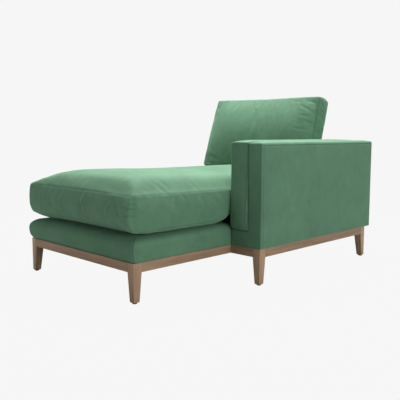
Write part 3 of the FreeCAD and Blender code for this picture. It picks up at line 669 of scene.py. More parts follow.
def seat_cushion():
    """The long loose cushion: a crowned top and bottom sewn to a side strip that swells."""
    s = sizes()
    rest = SEAT_HIGH.z + 0.0004
    x0, x1 = CUSHION_LOW.x - 0.009, ARM_LOW.x - 0.004
    y0, y1 = PLINTH_FRONT, BACK_LOW.y - 0.0015
    width, length, gusset = x1 - x0, y1 - y0, s.seat_gusset
    cut, faces = skin(
        graded(width, s.cloth_cell, 0.004), graded(length, s.cloth_cell, 0.004),
        graded(gusset, 0.0065, 0.004),
    )
    placed, seams = seat_cushion_form(cut, (x0, y0, rest), width, length, gusset)
    piece = make_piece("seat_cushion", placed, faces, velvet(), cut)
    inflate(piece, seams, 1.4, 0.0035, 0.0035)
    subdivide(piece)
    cut = take_cut(piece)
    edge = least(cut[:, 0], width - cut[:, 0], cut[:, 1], length - cut[:, 1])
    up = np.minimum(cut[:, 2], gusset - cut[:, 2])
    from_seam = np.where(edge < ON_SEAM, up, np.where(up < ON_SEAM, edge * 1.8, 0))
    soften(piece, np.exp(-((from_seam / 0.015) ** 2)), 5)
    fold(piece, cut, seat_cushion_folds(width, gusset))
    ruffle(piece, cut, 9.0, 5, 0.0009)
    sew(piece, from_seam, s.seam_width, s.seam_depth * 0.75)
    settled = press_under(read_points(piece))
    settled[:, 2] = np.maximum(settled[:, 2], rest)
    settled[:, 1] = np.minimum(settled[:, 1], BACK_FACE)
    beside = settled[:, 1] > ARM_LOW.y - 0.004
    settled[beside, 0] = np.minimum(settled[beside, 0], ARM_LOW.x - 0.0036)
    let_in = beside_zip(settled, "seat_cushion_zip", 2) * (cut[:, 1] > length - ON_SEAM)
    settled[:, 1] -= 0.0023 * let_in
    write_points(piece, settled)
    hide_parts("seat_cushion_cover", "seat_cushion_wrap", "seat_cushion_foam")
    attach(piece, "seat_cushion")
    return piece


def seat_cushion_form(cut, start, width, length, gusset):
    """The seat cushion as it is sewn: where its points lie, and which of them are on a seam."""
    s = sizes()
    x, y, t = cut[:, 0], cut[:, 1], cut[:, 2] / gusset
    left, right, front, rear = x, width - x, y, length - y
    across = x / width
    arm_start = ARM_LOW.y - start[1]

    # The lower seam bows up along the front, lifts at the left corner and is pinched at the arm
    near_front = 1 - ease(y / 0.26)
    at_left = 0.011 * np.clip(1 - x / 0.09, 0, 1) - 0.003 * (1 - across)
    arched = 0.01 * ease((x - 0.05) / 0.14) * (1 - ease((x - width + 0.1) / 0.1))
    arched -= 0.007 * across**6
    pinch = np.clip((y - arm_start + 0.078) / 0.076, 0, 1)
    low = s.seat_seam_rise + 0.0005 + 0.008 * (1 - ease(y / 0.45)) + at_left * near_front
    low += arched * (1 - ease(y / 0.15))
    low += (0.003 * ease((y - 0.2) / 0.15) + 0.032 * (1 - np.sqrt(1 - pinch**2))) * x / width

    # The upper seam is higher in front, and the crown over it is steepest at the near corner
    high = s.seat_seam_rise + gusset - 0.002 * (2 - across) + 0.0135 * (1 - ease(y / 0.6))
    high += 0.006 * (1 - ease(rear / 0.08)) - 0.004 * across**3 * (1 - ease((y - 0.2) / 0.25))
    level = s.seat_crown - 0.0064 * (across - 0.5) - 0.0084 * y / length
    level = level * (1 - 0.218 * np.exp(-least(left, right, front, rear) / 0.062))
    steep = 1.72 - 0.2 * across**2
    near_corner = ((steep * front + TINY) ** -2.6 + (1.465 * right + TINY) ** -2.6) ** (-1 / 2.6)
    top = high + crown([(left**0.845, 0.259), (near_corner, 1), (rear, 0.9)], level)
    full = swell(left, 0.05) * swell(right, 0.05) * swell(front, 0.07) * swell(rear, 0.1)
    bottom = low - 0.036 * full
    z = low + (high - low) * t
    z = np.where(t > 0.9999, top, z)
    z = np.where(t < 0.0001, bottom, z)
    placed = np.stack([start[0] + x, start[1] + y, start[2] + z], 1)
    placed = round_corners(placed, cut, (width, length), np.where(x < width / 2, 0.007, 0.024))

    # The strip is fullest half way up, tucks in under the front and stands free ahead of the arm
    wall = np.sin(np.pi * t) ** 0.85
    under = np.clip((0.34 - t) / 0.34, 0, 1) ** 1.7
    placed[:, 1] += (0.014 - 0.006 * np.exp(-left / 0.08)) * under * np.exp(-front / 0.04)
    placed[:, 0] += 0.001 * under * np.exp(-left / 0.04) - 0.003 * under * np.exp(-right / 0.04)
    fall = (0.005 + 0.006 * x / width) * swell((1 - t) * gusset, 0.022) * (1 - under)
    fall += 0.010 * np.exp(-((right / 0.05) ** 2)) * np.sin(np.pi * t)
    placed[:, 1] -= np.where(front < TINY, fall, 0)
    placed[:, 0] -= np.where(left < TINY, 0.008 * np.sin(np.pi * t) * swell(rear, 0.03), 0)
    free = 0.0085 * np.sqrt(np.clip(1 - np.clip((y - arm_start + 0.04) / 0.038, 0, 1) ** 2, 0, 1))
    placed[:, 0] += np.where(right < TINY, (free * swell(front, 0.03) + 0.001) * wall, 0)
    seam = (least(left, right, front, rear) < TINY) & ((t > 0.9999) | (t < 0.0001))
    return placed, np.nonzero(seam)[0]


def seat_cushion_folds(width, gusset):
    """The seat cushion's creases: each one's path on the pattern, half width and height."""
    w, g = width, gusset
    corner = [
        ([(w - a, 0, z), (w - 0.004, 0, z + 0.003), (w, 0.012, z), (w, b, z - 0.005)], 0.0042, h)
        for z, h, a, b in (
            (0.108, -0.0045, 0.012, 0.02), (0.095, -0.0065, 0.026, 0.03),
            (0.083, -0.0036, 0.016, 0.045), (0.069, -0.0055, 0.03, 0.022),
        )
    ]
    front = [
        ([(0.471, 0, 0.128), (0.457, 0, 0.085), (0.483, 0, 0.035)], 0.007, 0.0022),
        ([(0.662, 0, 0.107), (0.632, 0, 0.074), (0.631, 0, 0.03)], 0.007, 0.0018),
        ([(0.606, 0, 0.106), (0.598, 0, 0.081)], 0.006, 0.0014),
        ([(0.15, 0, 0.12), (0.142, 0, 0.05)], 0.01, 0.0012),
        ([(0.31, 0, 0.115), (0.3, 0, 0.045)], 0.01, -0.0012),
    ]
    over_right_seam = [
        ([(w - 0.045, 0.12, g), (w, 0.174, g), (w, 0.2, 0.122)], 0.0055, -0.001),
        ([(w - 0.03, 0.065, g), (w, 0.085, g), (w, 0.1, 0.125)], 0.005, -0.0007),
        ([(w - 0.05, 0.16, g), (w - 0.015, 0.2, g)], 0.005, -0.0008),
        ([(w, 0.245, g), (w, 0.277, 0.111)], 0.006, -0.0013),
        ([(w - 0.04, 0.32, g), (w, 0.36, g), (w, 0.375, 0.12)], 0.006, -0.0009),
        ([(w, 0.42, 0.12), (w, 0.47, 0.07)], 0.011, -0.0012),
    ]
    top = [
        ([(0.52, 0.19, g), (0.68, 0.13, g)], 0.014, -0.0012),
        ([(0.2, 0.07, g), (0.34, 0.04, g)], 0.014, -0.001),
    ]
    return corner + front + over_right_seam + top


def beside_zip(points, node, across):
    """How much of the cloth at each point is let in for a zip: 1 along it and 0 past its lips."""
    low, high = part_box(node)
    share = np.ones(len(points))
    for axis in (0, across):
        middle, half = (low[axis] + high[axis]) / 2, (high[axis] - low[axis]) / 2
        share = share * ease((half + 0.004 - np.abs(points[:, axis] - middle)) / 0.003)
    return share


def pillow_rest():
    """Where the back cushion stands: a point on its sloping rest plane and the slope's normal."""
    place = np.array([0, BACK_LOW.y - 0.167, PILLOW_LOW.z + 0.0282])
    return place, np.array([0, math.sin(PILLOW_SLOPE), math.cos(PILLOW_SLOPE)])


def press_under(points):
    """Presses the seat cushion's top down under the back cushion, with a soft rim around it."""
    place, normal = pillow_rest()
    over = (points - place) @ normal
    inside = least(
        points[:, 0] - (PILLOW_LOW.x - 0.004), PILLOW_HIGH.x + 0.004 - points[:, 0],
        points[:, 1] - (place[1] - 0.012),
    )
    rim = 0.03
    share = ease(inside / rim + 1)
    return points - np.maximum(over + 0.0006, 0)[:, None] * share[:, None] * normal


# Back cushion

def back_cushion():
    """The loose back cushion: a leaning box of velvet with swollen faces, twisted a little."""
    s = sizes()
    x0, x1 = PLINTH_LEFT + 0.014, ARM_LOW.x - 0.016
    width, deep, tall = x1 - x0, s.pillow_depth, s.pillow_height
    cut, faces = skin(
        graded(width, 0.011, 0.004), graded(deep, 0.0095, 0.004), graded(tall, 0.011, 0.004)
    )
    placed, seams = back_cushion_form(cut, x0, width, deep, tall)
    piece = make_piece("back_cushion", placed, faces, velvet(), cut)
    inflate(piece, seams, 2.2, 0.008, 0.007)
    subdivide(piece)
    cut = take_cut(piece)
    x, d, h = cut[:, 0], cut[:, 1], cut[:, 2]
    strip = np.minimum(d, deep - d)
    rim = least(x, width - x, np.abs(h - 0.012), tall - h)
    from_seam = np.where(strip < ON_SEAM, rim, strip)
    soften(piece, np.exp(-((from_seam / 0.01) ** 2)), 2)
    fold(piece, cut, back_cushion_folds(width))
    ruffle(piece, cut, 11.0, 8, 0.0014)
    sew(piece, from_seam, s.seam_width, s.seam_depth)
    place, normal = pillow_rest()
    settled = keep_below(read_points(piece), -normal, place + normal * 0.0004)
    behind = (settled[:, 2] < BACK_HIGH.z + 0.001) & (settled[:, 1] > BACK_FACE)
    settled[behind, 1] = BACK_FACE
    let_in = beside_zip(settled, "back_cushion_zip", 1) * (cut[:, 2] < 0.02)
    settled += normal * (0.0028 * let_in)[:, None]
    write_points(piece, settled)
    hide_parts("back_cushion_cover", "back_cushion_fill")
    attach(piece, "back_cushion")
    return piece


def back_cushion_form(cut, x0, width, deep, tall):
    """The back cushion as it is sewn: where its points lie, and which of them are on a seam."""
    x, d, h = cut[:, 0], cut[:, 1], cut[:, 2]
    share, depth = x / width, d / deep
    still = np.zeros_like(x)

    # It leans back less toward its right end, and stands further forward there
    place, _ = pillow_rest()
    lean = np.radians(19 - 7 * share)
    up = np.stack([still, np.sin(lean), np.cos(lean)], 1)
    back = np.stack([still, np.cos(lean), -np.sin(lean)], 1)
    foot = np.stack([
        x0 + x, BACK_LOW.y - (0.167 - 0.022 * share), place[2] + 0.005 - 0.024 * share
    ], 1)

    # Its faces are full, its strips bulge, and its top right corner leans on the back frame
    ends = np.minimum(x, width - x)
    across = 0.1 + 0.9 * swell(ends, 0.085)
    risen = np.sin(np.pi * h / tall) ** 0.9
    push = np.where(d < TINY, -0.044, np.where(d > deep - TINY, 0.036, 0.0)) * across * risen
    edge = np.minimum(h, tall - h) < TINY
    rise = np.where(edge, np.sin(np.pi * depth) * 0.005, 0) * np.where(h > tall / 2, 1, -1)
    dip = 0.004 * np.sin(np.pi * share) ** 2 * (h / tall) ** 2
    leant = np.clip((h - 0.28) / 0.14, -1, 1) * 0.010 * share**3 * depth
    placed = foot + up * (h + rise - dip)[:, None] + back * (d + push + leant)[:, None]
    end_wall = ends < TINY
    out = np.where(end_wall, np.sin(np.pi * depth) * 0.009 * (0.3 + 0.7 * risen), 0)
    placed[:, 0] += np.where(x < width / 2, -out, out * 1.3)
    placed[:, 0] -= 0.004 * share**4 * (1 - h / tall) ** 2
    radius = 0.006 + 0.012 * depth * (share > 0.5)
    placed = round_corners(placed, cut, (width, tall), radius, 2, up)
    seam = (edge | end_wall) & ((d < TINY) | (d > deep - TINY))
    return placed, np.nonzero(seam)[0]


def back_cushion_folds(width):
    """The back cushion's creases: each one's path on the pattern, half width and height."""
    r = width
    return [
        ([(r - 0.07, 0, 0.388), (r - 0.03, 0, 0.382), (r, 0, 0.378)], 0.0055, -0.0018),
        ([(r - 0.125, 0, 0.372), (r - 0.07, 0, 0.35), (r - 0.02, 0, 0.325)], 0.007, -0.0014),
        ([(r - 0.17, 0, 0.392), (r - 0.12, 0, 0.386), (r - 0.09, 0, 0.374)], 0.0065, -0.001),
        ([(r - 0.1, 0, 0.308), (r - 0.06, 0, 0.303), (r - 0.03, 0, 0.301)], 0.006, -0.0013),
        ([(r - 0.14, 0, 0.238), (r - 0.08, 0, 0.231), (r - 0.03, 0, 0.232)], 0.007, -0.001),
        ([(r - 0.06, 0, 0.275), (r, 0, 0.262)], 0.006, -0.001),
        ([(r, 0.012, 0.385), (r, 0.045, 0.352)], 0.006, -0.0022),
        ([(r, 0.02, 0.345), (r, 0.06, 0.325)], 0.006, -0.0014),
        ([(0.02, 0, 0.06), (0.13, 0, 0.035)], 0.011, -0.0016),
        ([(0.0, 0, 0.37), (0.05, 0, 0.35)], 0.008, -0.0012),
        ([(0.4, 0, 0.405), (0.41, 0, 0.375)], 0.007, -0.0012),
        ([(0.33, 0, 0.35), (0.355, 0, 0.33)], 0.007, -0.0009),
    ]


# Arm

def arm_slab():
    """The arm's flat outer slab and the low front under its pad, one L of tight velvet."""
    s = sizes()
    low, high = np.array(ARM_LOW), np.array(ARM_HIGH)
    seam_x, base_top = PAD_HIGH.x, PAD_LOW.z
    near = (0.0012, 0.0024, 0.004, 0.006, 0.008, 0.0095, 0.011, 0.0125, 0.014, 0.017, 0.022)
    inner = edged(seam_x - low[0], s.cloth_cell, near)
    outer = edged(high[0] - seam_x, s.cloth_cell, near) + inner[-1]
    xs = low[0] + np.concatenate([inner, outer[1:]])
    ys = low[1] + edged(high[1] - low[1], s.cloth_cell, near)
    lower = graded(base_top - low[2], s.cloth_cell, 0.0014)
    upper = edged(high[2] - base_top, s.cloth_cell, near) + lower[-1]
    zs = low[2] + np.concatenate([lower, upper[1:]])
    middle_x, middle_z = (xs[1:] + xs[:-1]) / 2, (zs[1:] + zs[:-1]) / 2
    filled = (middle_x[:, None] > seam_x) | (middle_z[None, :] < base_top)
    cut, faces = skin(xs, ys, zs, np.repeat(filled[:, None, :], len(ys) - 1, 1))
    boxes = [
        ((seam_x, low[1], low[2] - 0.02), tuple(high)),
        ((low[0], low[1], low[2] - 0.02), (high[0], high[1], base_top)),
    ]
    placed = rounded(cut, boxes, 0.0055)
    on_top = cut[:, 2] > high[2] - TINY
    share = (cut[:, 0] - seam_x) / (high[0] - seam_x)
    along = np.minimum(cut[:, 1] - low[1], high[1] - cut[:, 1])
    arch = np.sin(np.pi * np.clip(share, 0, 1)) ** 0.7
    placed[:, 2] += on_top * 0.007 * arch * swell(along, 0.02)
    on_side = cut[:, 0] > high[0] - TINY
    rim = least(along, high[2] - cut[:, 2], cut[:, 2] - low[2])
    placed[:, 0] += on_side * 0.005 * swell(rim, 0.02)
    piece = make_piece("arm_upholstery", placed, faces, velvet())
    on_front = cut[:, 1] < low[1] + TINY
    band = 0.0115
    upright = np.minimum(np.abs(cut[:, 1] - low[1] - band), np.abs(high[1] - cut[:, 1] - band))
    under = high[2] - cut[:, 2]
    upright = np.where(under < band, np.hypot(upright, band - under), upright)
    beyond = np.hypot(along - band, under - band)
    level = np.where(along > band, np.abs(under - band), beyond)
    from_band = np.where(on_side, np.minimum(upright, level), 1.0)
    from_band[on_front] = np.abs(high[0] - cut[on_front, 0] - 0.006)
    # Painted shade in the groove beside the pad: on the front face, along the pad's outer edge and
    # under it
    beside_pad = np.hypot(np.maximum(cut[:, 0] - seam_x, 0), np.maximum(base_top - cut[:, 2], 0))
    groove = np.where(on_front, beside_pad, 1.0)
    sew(piece, from_band, s.seam_width * 0.6, s.seam_depth * 0.9, groove)
    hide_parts("arm_cover", "arm_wadding")
    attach(piece, "frame")
    return piece


def arm_pad():
    """The upright pad on the arm's inner side: full, crowned on top and rounded underneath."""
    s = sizes()
    low, high = np.array(PAD_LOW), np.array(PAD_HIGH)
    rise = high[2] - ARM_HIGH.z
    width, length, height = high[0] - low[0], high[1] - low[1], ARM_HIGH.z - low[2]
    near = (0.0014, 0.003, 0.005, 0.0075, 0.0105, 0.014, 0.019, 0.026)
    cut, faces = skin(
        edged(width, 0.009, near), edged(length, s.cloth_cell, near),
        edged(height, s.cloth_cell, near),
    )
    x, y, z = cut[:, 0].copy(), cut[:, 1].copy(), cut[:, 2].copy()
    for radius, under in ((0.018, True), (0.01, False)):
        dz = cut[:, 2] if under else height - cut[:, 2]
        at = (cut[:, 0] < radius) & (dz < radius)
        u, v = radius - cut[at, 0], radius - dz[at]
        scale = np.maximum(u, v) / np.maximum(np.hypot(u, v), 1e-9)
        x[at] += u * (1 - scale)
        z[at] += (1 if under else -1) * v * (1 - scale)
    share, up = cut[:, 0] / width, cut[:, 2] / height
    along = np.minimum(cut[:, 1], length - cut[:, 1])
    arch = np.sqrt(np.clip(1 - (2 * (0.02 + 0.9 * share) - 1) ** 2, 0, 1))
    full = 0.35 + 0.65 * swell(cut[:, 1], 0.02) * swell(length - cut[:, 1], 0.09)
    z += np.where(up > 1 - TINY, rise * arch * full, 0)
    ahead = np.sqrt(np.clip(1 - (2 * (0.02 + 0.8 * share) - 1) ** 2, 0, 1))
    fullest = np.exp(-(((up - 0.2) / 0.28) ** 2))
    bulge = ahead * (0.005 + 0.020 * fullest) * swell(cut[:, 2], 0.011)
    y += np.where(cut[:, 1] < TINY, -bulge, np.where(along < TINY, bulge * 0.3, 0))
    side = (cut[:, 0] < TINY) & (up > 0)
    x -= side * 0.003 * np.sin(np.pi * up) ** 0.5 * (0.4 + 0.6 * swell(along, 0.012))
    placed = np.stack([x, y, z], 1) + low
    piece = make_piece("arm_pad", placed, faces, velvet())
    soften(piece, (cut[:, 0] < width - TINY).astype(float), 1)
    placed = read_points(piece)
    placed[:, 0] = np.minimum(placed[:, 0], high[0] - 0.0003)
    write_points(piece, placed)
    # No seam is sunk here; the velvet gets painted shade along the front's outer edge and its
    # bottom, where the pad meets the slab
    groove = np.where(cut[:, 1] < TINY, np.minimum(width - cut[:, 0], cut[:, 2]), 1.0)
    sew(piece, np.full(len(cut), 1.0), s.seam_width, s.seam_depth, groove)
    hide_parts("arm_pad_cover", "arm_pad_foam")
    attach(piece, "frame")
    return piece


# Back

def back_upholstery():
    """The back frame's tight cover, softly rounded, with a seam along each face's edge."""
    s = sizes()
    low, high = np.array(BACK_LOW), np.array(BACK_HIGH)
    span = high - low
    near = (0.0015, 0.003, 0.0048, 0.007, 0.0095, 0.0125, 0.016, 0.02, 0.026)
    cut, faces = skin(*(edged(span[i], s.cloth_cell, near) for i in range(3)))
    boxes = [((0, 0, -0.05), (span[0] + 0.03, span[1], span[2]))]
    placed = rounded(cut, boxes, 0.017) + low
    rim = np.minimum(cut[:, 0], span[2] - cut[:, 2])
    on_face = np.minimum(cut[:, 1], span[1] - cut[:, 1]) < TINY
    swollen = np.where(cut[:, 1] > span[1] / 2, 0.004, -0.002)
    placed[:, 1] += on_face * swollen * swell(rim, 0.08) * swell(span[0] - cut[:, 0], 0.05)
    placed[:, 1] = np.maximum(placed[:, 1], low[1] + 0.0002)
    piece = make_piece("back_upholstery", placed, faces, velvet())
    from_seam = np.where(on_face, np.abs(rim - 0.007), 1.0)
    sew(piece, from_seam, s.seam_width * 0.7, s.seam_depth * 0.7)
    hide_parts("back_cover", "back_padding")
    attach(piece, "frame")
    return piece


# Zips

def zip_tree():
    """Geometry nodes for a zip along x: two tapes, each with a row of teeth, that mesh."""
    tree = bpy.data.node_groups.new("zip_row", "GeometryNodeTree")
    tree.interface.new_socket("Geometry", in_out="INPUT", socket_type="NodeSocketGeometry")
    for name, kind, value in (
        ("Length", "NodeSocketFloat", 0.56), ("Pitch", "NodeSocketFloat", 0.0025),
        ("Tape width", "NodeSocketFloat", 0.012), ("Tooth", "NodeSocketFloat", 0.0036),
        ("Place", "NodeSocketVector", (0, 0, 0)), ("Turn", "NodeSocketVector", (0, 0, 0)),
        ("Tape finish", "NodeSocketMaterial", None), ("Tooth finish", "NodeSocketMaterial", None),
    ):
        socket = tree.interface.new_socket(name, in_out="INPUT", socket_type=kind)
        if value is not None:
            socket.default_value = value
    tree.interface.new_socket("Geometry", in_out="OUTPUT", socket_type="NodeSocketGeometry")
    given, result = add(tree, "NodeGroupInput"), add(tree, "NodeGroupOutput")
    link = tree.links.new

    def maths(operation, first, second):
        node = add(tree, "ShaderNodeMath", operation=operation)
        feed(tree, node.inputs[0], first)
        feed(tree, node.inputs[1], second)
        return node.outputs[0]

    def vector(*parts):
        node = add(tree, "ShaderNodeCombineXYZ")
        for socket, value in zip(node.inputs, parts):
            feed(tree, socket, value)
        return node.outputs[0]

    join = add(tree, "GeometryNodeJoinGeometry")
    tape_gap = 0.0006
    half = maths("MULTIPLY", given.outputs["Tape width"], 0.5)
    for side in (-1, 1):
        cells = {"Vertices X": 57, "Vertices Y": 4, "Vertices Z": 2}
        tape = add(tree, "GeometryNodeMeshCube", cells)
        size = vector(given.outputs["Length"], maths("SUBTRACT", half, tape_gap), 0.0006)
        link(size, tape.inputs["Size"])
        move = add(tree, "GeometryNodeTransform")
        link(tape.outputs["Mesh"], move.inputs["Geometry"])
        across = maths("MULTIPLY", maths("ADD", half, tape_gap), 0.5 * side)
        link(vector(0.0, across, 0.0003), move.inputs["Translation"])
        link(move.outputs["Geometry"], join.inputs["Geometry"])
        count = maths("FLOOR", maths("DIVIDE", given.outputs["Length"], given.outputs["Pitch"]), 0)
        row = add(tree, "GeometryNodeMeshLine", mode="OFFSET")
        link(count, row.inputs["Count"])
        start = maths("SUBTRACT", maths("MULTIPLY", given.outputs["Pitch"], 0.25 * side),
                      maths("MULTIPLY", given.outputs["Length"], 0.498))
        link(vector(start, 0.0007 * side, 0.0010), row.inputs["Start Location"])
        link(vector(given.outputs["Pitch"], 0.0, 0.0), row.inputs["Offset"])
        tooth = add(tree, "GeometryNodeMeshCylinder", {"Vertices": 8, "Side Segments": 2})
        link(maths("MULTIPLY", given.outputs["Pitch"], 0.23), tooth.inputs["Radius"])
        link(given.outputs["Tooth"], tooth.inputs["Depth"])
        marked = add(
            tree, "GeometryNodeStoreNamedAttribute", {"Name": "tooth", "Value": True},
            data_type="BOOLEAN", domain="FACE",
        )
        link(tooth.outputs["Mesh"], marked.inputs["Geometry"])
        placed = add(tree, "GeometryNodeInstanceOnPoints")
        placed.inputs["Rotation"].default_value = (math.pi / 2, 0, 0)
        link(row.outputs["Mesh"], placed.inputs["Points"])
        link(marked.outputs["Geometry"], placed.inputs["Instance"])
        link(placed.outputs["Instances"], join.inputs["Geometry"])
    stand = add(tree, "GeometryNodeTransform")
    link(join.outputs["Geometry"], stand.inputs["Geometry"])
    link(given.outputs["Place"], stand.inputs["Translation"])
    link(given.outputs["Turn"], stand.inputs["Rotation"])
    real = add(tree, "GeometryNodeRealizeInstances")
    link(stand.outputs["Geometry"], real.inputs["Geometry"])
    woven_tape = add(tree, "GeometryNodeSetMaterial")
    link(real.outputs["Geometry"], woven_tape.inputs["Geometry"])
    link(given.outputs["Tape finish"], woven_tape.inputs["Material"])
    is_tooth = add(tree, "GeometryNodeInputNamedAttribute", {"Name": "tooth"}, data_type="BOOLEAN")
    teeth = add(tree, "GeometryNodeSetMaterial")
    link(woven_tape.outputs["Geometry"], teeth.inputs["Geometry"])
    link(is_tooth.outputs["Attribute"], teeth.inputs["Selection"])
    link(given.outputs["Tooth finish"], teeth.inputs["Material"])
    link(teeth.outputs["Geometry"], result.inputs["Geometry"])
    return tree


def zip_row(node, body, place, turn):
    """A zip in the place of its CAD strip, with its slider at one end."""
    low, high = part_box(node)
    tree = bpy.data.node_groups.get("zip_row") or zip_tree()
    tape = zip_tape()
    tooth = plain("zip_teeth_finish", (0.05, 0.12, 0.075), 0.4, scale=900.0)
    seed = make_piece(node + "_row", np.zeros((1, 3)), np.zeros((0, 4), int), tape)
    modifier = seed.modifiers.new("row", "NODES")
    modifier.node_group = tree
    values = {
        "Length": high[0] - low[0], "Place": tuple(place), "Turn": (turn, 0.0, 0.0),
        "Tape finish": tape, "Tooth finish": tooth,
    }
    for socket in tree.interface.items_tree:
        if socket.in_out == "INPUT" and socket.name in values:
            modifier[socket.identifier] = values[socket.name]
    apply_modifiers(seed)
    seed.data.polygons.foreach_set("use_smooth", [False] * len(seed.data.polygons))
    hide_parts(node)
    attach(seed, body)

    points, faces = zip_slider()
    cosine, sine = math.cos(turn), math.sin(turn)
    about = np.array([[1, 0, 0], [0, cosine, -sine], [0, sine, cosine]])
    shift = np.array([0.47 * (high[0] - low[0]), 0, 0])
    points = (points + shift) @ about.T + np.array(place)
    slider = make_piece(node + "_slider", points, faces, zinc_steel())
    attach(slider, body)


def zip_slider():
    """A slider's body with its neck and the flat pull that lies along the teeth."""
    blocks = (
        ((-0.005, -0.0038, 0.0002), (0.005, 0.0038, 0.0021), 0.0007),
        ((-0.0035, -0.0012, 0.0017), (0.0025, 0.0012, 0.0025), 0.0003),
        ((-0.026, -0.0024, 0.0013), (-0.0045, 0.0024, 0.0022), 0.0004),
    )
    points, faces, start = [], [], 0
    for low, high, radius in blocks:
        low, high = np.array(low), np.array(high)
        near = (radius * 0.3, radius * 0.65, radius)
        cells = [edged(high[i] - low[i], 0.003, near) + low[i] for i in range(3)]
        block, quads = skin(*cells)
        points.append(rounded(block, [(low, high)], radius))
        faces.append(quads + start)
        start += len(block)
    return np.concatenate(points), np.concatenate(faces)


def zips():
    """The zips: one in the seat cushion's rear strip and one under the back cushion."""
    low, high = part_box("seat_cushion_zip")
    place = ((low[0] + high[0]) / 2, BACK_LOW.y - 0.0030, (low[2] + high[2]) / 2)
    zip_row("seat_cushion_zip", "seat_cushion", place, -math.pi / 2)
    low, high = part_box("back_cushion_zip")
    place, normal = pillow_rest()
    across = np.array([0, normal[2], -normal[1]])
    far = ((low[1] + high[1]) / 2 - place[1]) / normal[2]
    on_rest = place + across * far + normal * 0.0031
    on_rest[0] = (low[0] + high[0]) / 2
    zip_row("back_cushion_zip", "back_cushion", on_rest, math.pi - PILLOW_SLOPE)


# Dust cover

def dust_cover():
    """The cloth under the frames: an L-shaped sheet held at the rails that sags in two bays."""
    low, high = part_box("dust_cover")
    right, arm_front = SEAT_HIGH.x - 0.004, ARM_LOW.y + 0.004
    inner = edged(right - low[0], 0.02, (0.006, 0.014))
    outer = edged(high[0] - right, 0.02, (0.006, 0.014)) + inner[-1]
    xs = low[0] + np.concatenate([inner, outer[1:]])
    first = edged(arm_front - low[1], 0.02, (0.006, 0.014))
    second = edged(high[1] - arm_front, 0.02, (0.006, 0.014)) + first[-1]
    ys = low[1] + np.concatenate([first, second[1:]])
    middle_x, middle_y = (xs[1:] + xs[:-1]) / 2, (ys[1:] + ys[:-1]) / 2
    filled = (middle_x[:, None] < right) | (middle_y[None, :] > arm_front)
    points, faces = skin(xs, ys, np.array([low[2], high[2]]), filled[:, :, None])
    edges = {name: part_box(name) for name in (
        "left_rail", "front_rail", "middle_rail", "back_rail", "chaise_side_rail", "arm_side_rail"
    )}
    left, front = edges["left_rail"][1].x, edges["front_rail"][1].y
    bays = (
        (left, edges["chaise_side_rail"][0].x, front, edges["middle_rail"][0].y),
        (left, edges["arm_side_rail"][0].x, edges["middle_rail"][1].y, edges["back_rail"][0].y),
    )
    for x0, x1, y0, y1 in bays:
        inside = least(
            points[:, 0] - x0, x1 - points[:, 0], points[:, 1] - y0, y1 - points[:, 1]
        )
        slack = ease((inside - 0.05) / 0.2)
        points[:, 2] -= slack * (0.007 + 0.0016 * soft_noise(points * (1, 0.4, 0), 7.0, 4))
    piece = make_piece("dust_cover_cloth", points, faces, dust_cloth())
    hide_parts("dust_cover")
    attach(piece, "frame")


# Carried-over parts of the frame

def frame_finish(slot, along):
    """The finish of a CAD node by its material slot; timber has its grain along an axis."""
    timber = {
        "stained_ash": ("stained_ash", tuple(colours().wood), 0.5, 1.2),
        "frame_timber": ("pine", (0.60, 0.42, 0.24), 0.65, 0.8),
        "plywood": ("plywood", (0.64, 0.47, 0.30), 0.6, 0.5),
    }
    fine = {
        "foam": ("foam_finish", (0.83, 0.78, 0.6), 0.9, 0.0, 600.0, 0.0006),
        "fibre": ("fibre_finish", (0.86, 0.86, 0.84), 0.95, 0.0, 260.0, 0.001),
        "felt": ("felt_finish", (0.34, 0.33, 0.32), 0.95, 0.0, 420.0, 0.0008),
        "spring_steel": ("spring_steel_finish", (0.3, 0.3, 0.31), 0.35, 1.0),
        "clip_plastic": ("clip_plastic_finish", (0.8, 0.8, 0.78), 0.45),
        "glide_nylon": ("glide_nylon_finish", (0.03, 0.026, 0.022), 0.45),
    }
    shared = {"dust_cloth": dust_cloth, "zinc_steel": zinc_steel, "zip_tape": zip_tape}
    if slot in timber:
        name, colour, roughness, contrast = timber[slot]
        return wood(f"{name}_{'xyz'[along]}", colour, along, roughness, contrast)
    if slot in fine:
        return plain(*fine[slot])
    if slot == "webbing":
        return woven("webbing_weave", (0.05, 0.05, 0.052), 0.003)
    return shared[slot]() if slot in shared else None


def dress_frame():
    """Gives every CAD node that stays its own finish."""
    # The rails are a fifth darker than the legs: partly painted shade from the upholstery that
    # overhangs them, partly the look of their grain running across
    rail_tone_and_shade = shade(tuple(colours().wood), 0.8)[:3]
    for row in frame["record"]["subparts"]:
        name, slot = row["node"], row["material_slot"]
        node = frame["nodes"][name]
        if node.hide_render:
            continue
        low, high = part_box(name)
        spans = [high[i] - low[i] for i in range(3)]
        along = 2 if name.startswith("leg_") else spans.index(max(spans))
        if name.endswith("_rail") and slot == "stained_ash":
            ends = [side([v.co[along] for v in node.data.vertices]) for side in (min, max)]
            finish = wood(f"stained_ash_{name}", rail_tone_and_shade, along, 0.5, 1.2, ends)
        else:
            finish = frame_finish(slot, along)
        if finish:
            node.data.materials.clear()
            node.data.materials.append(finish)


# Stage, lights and camera

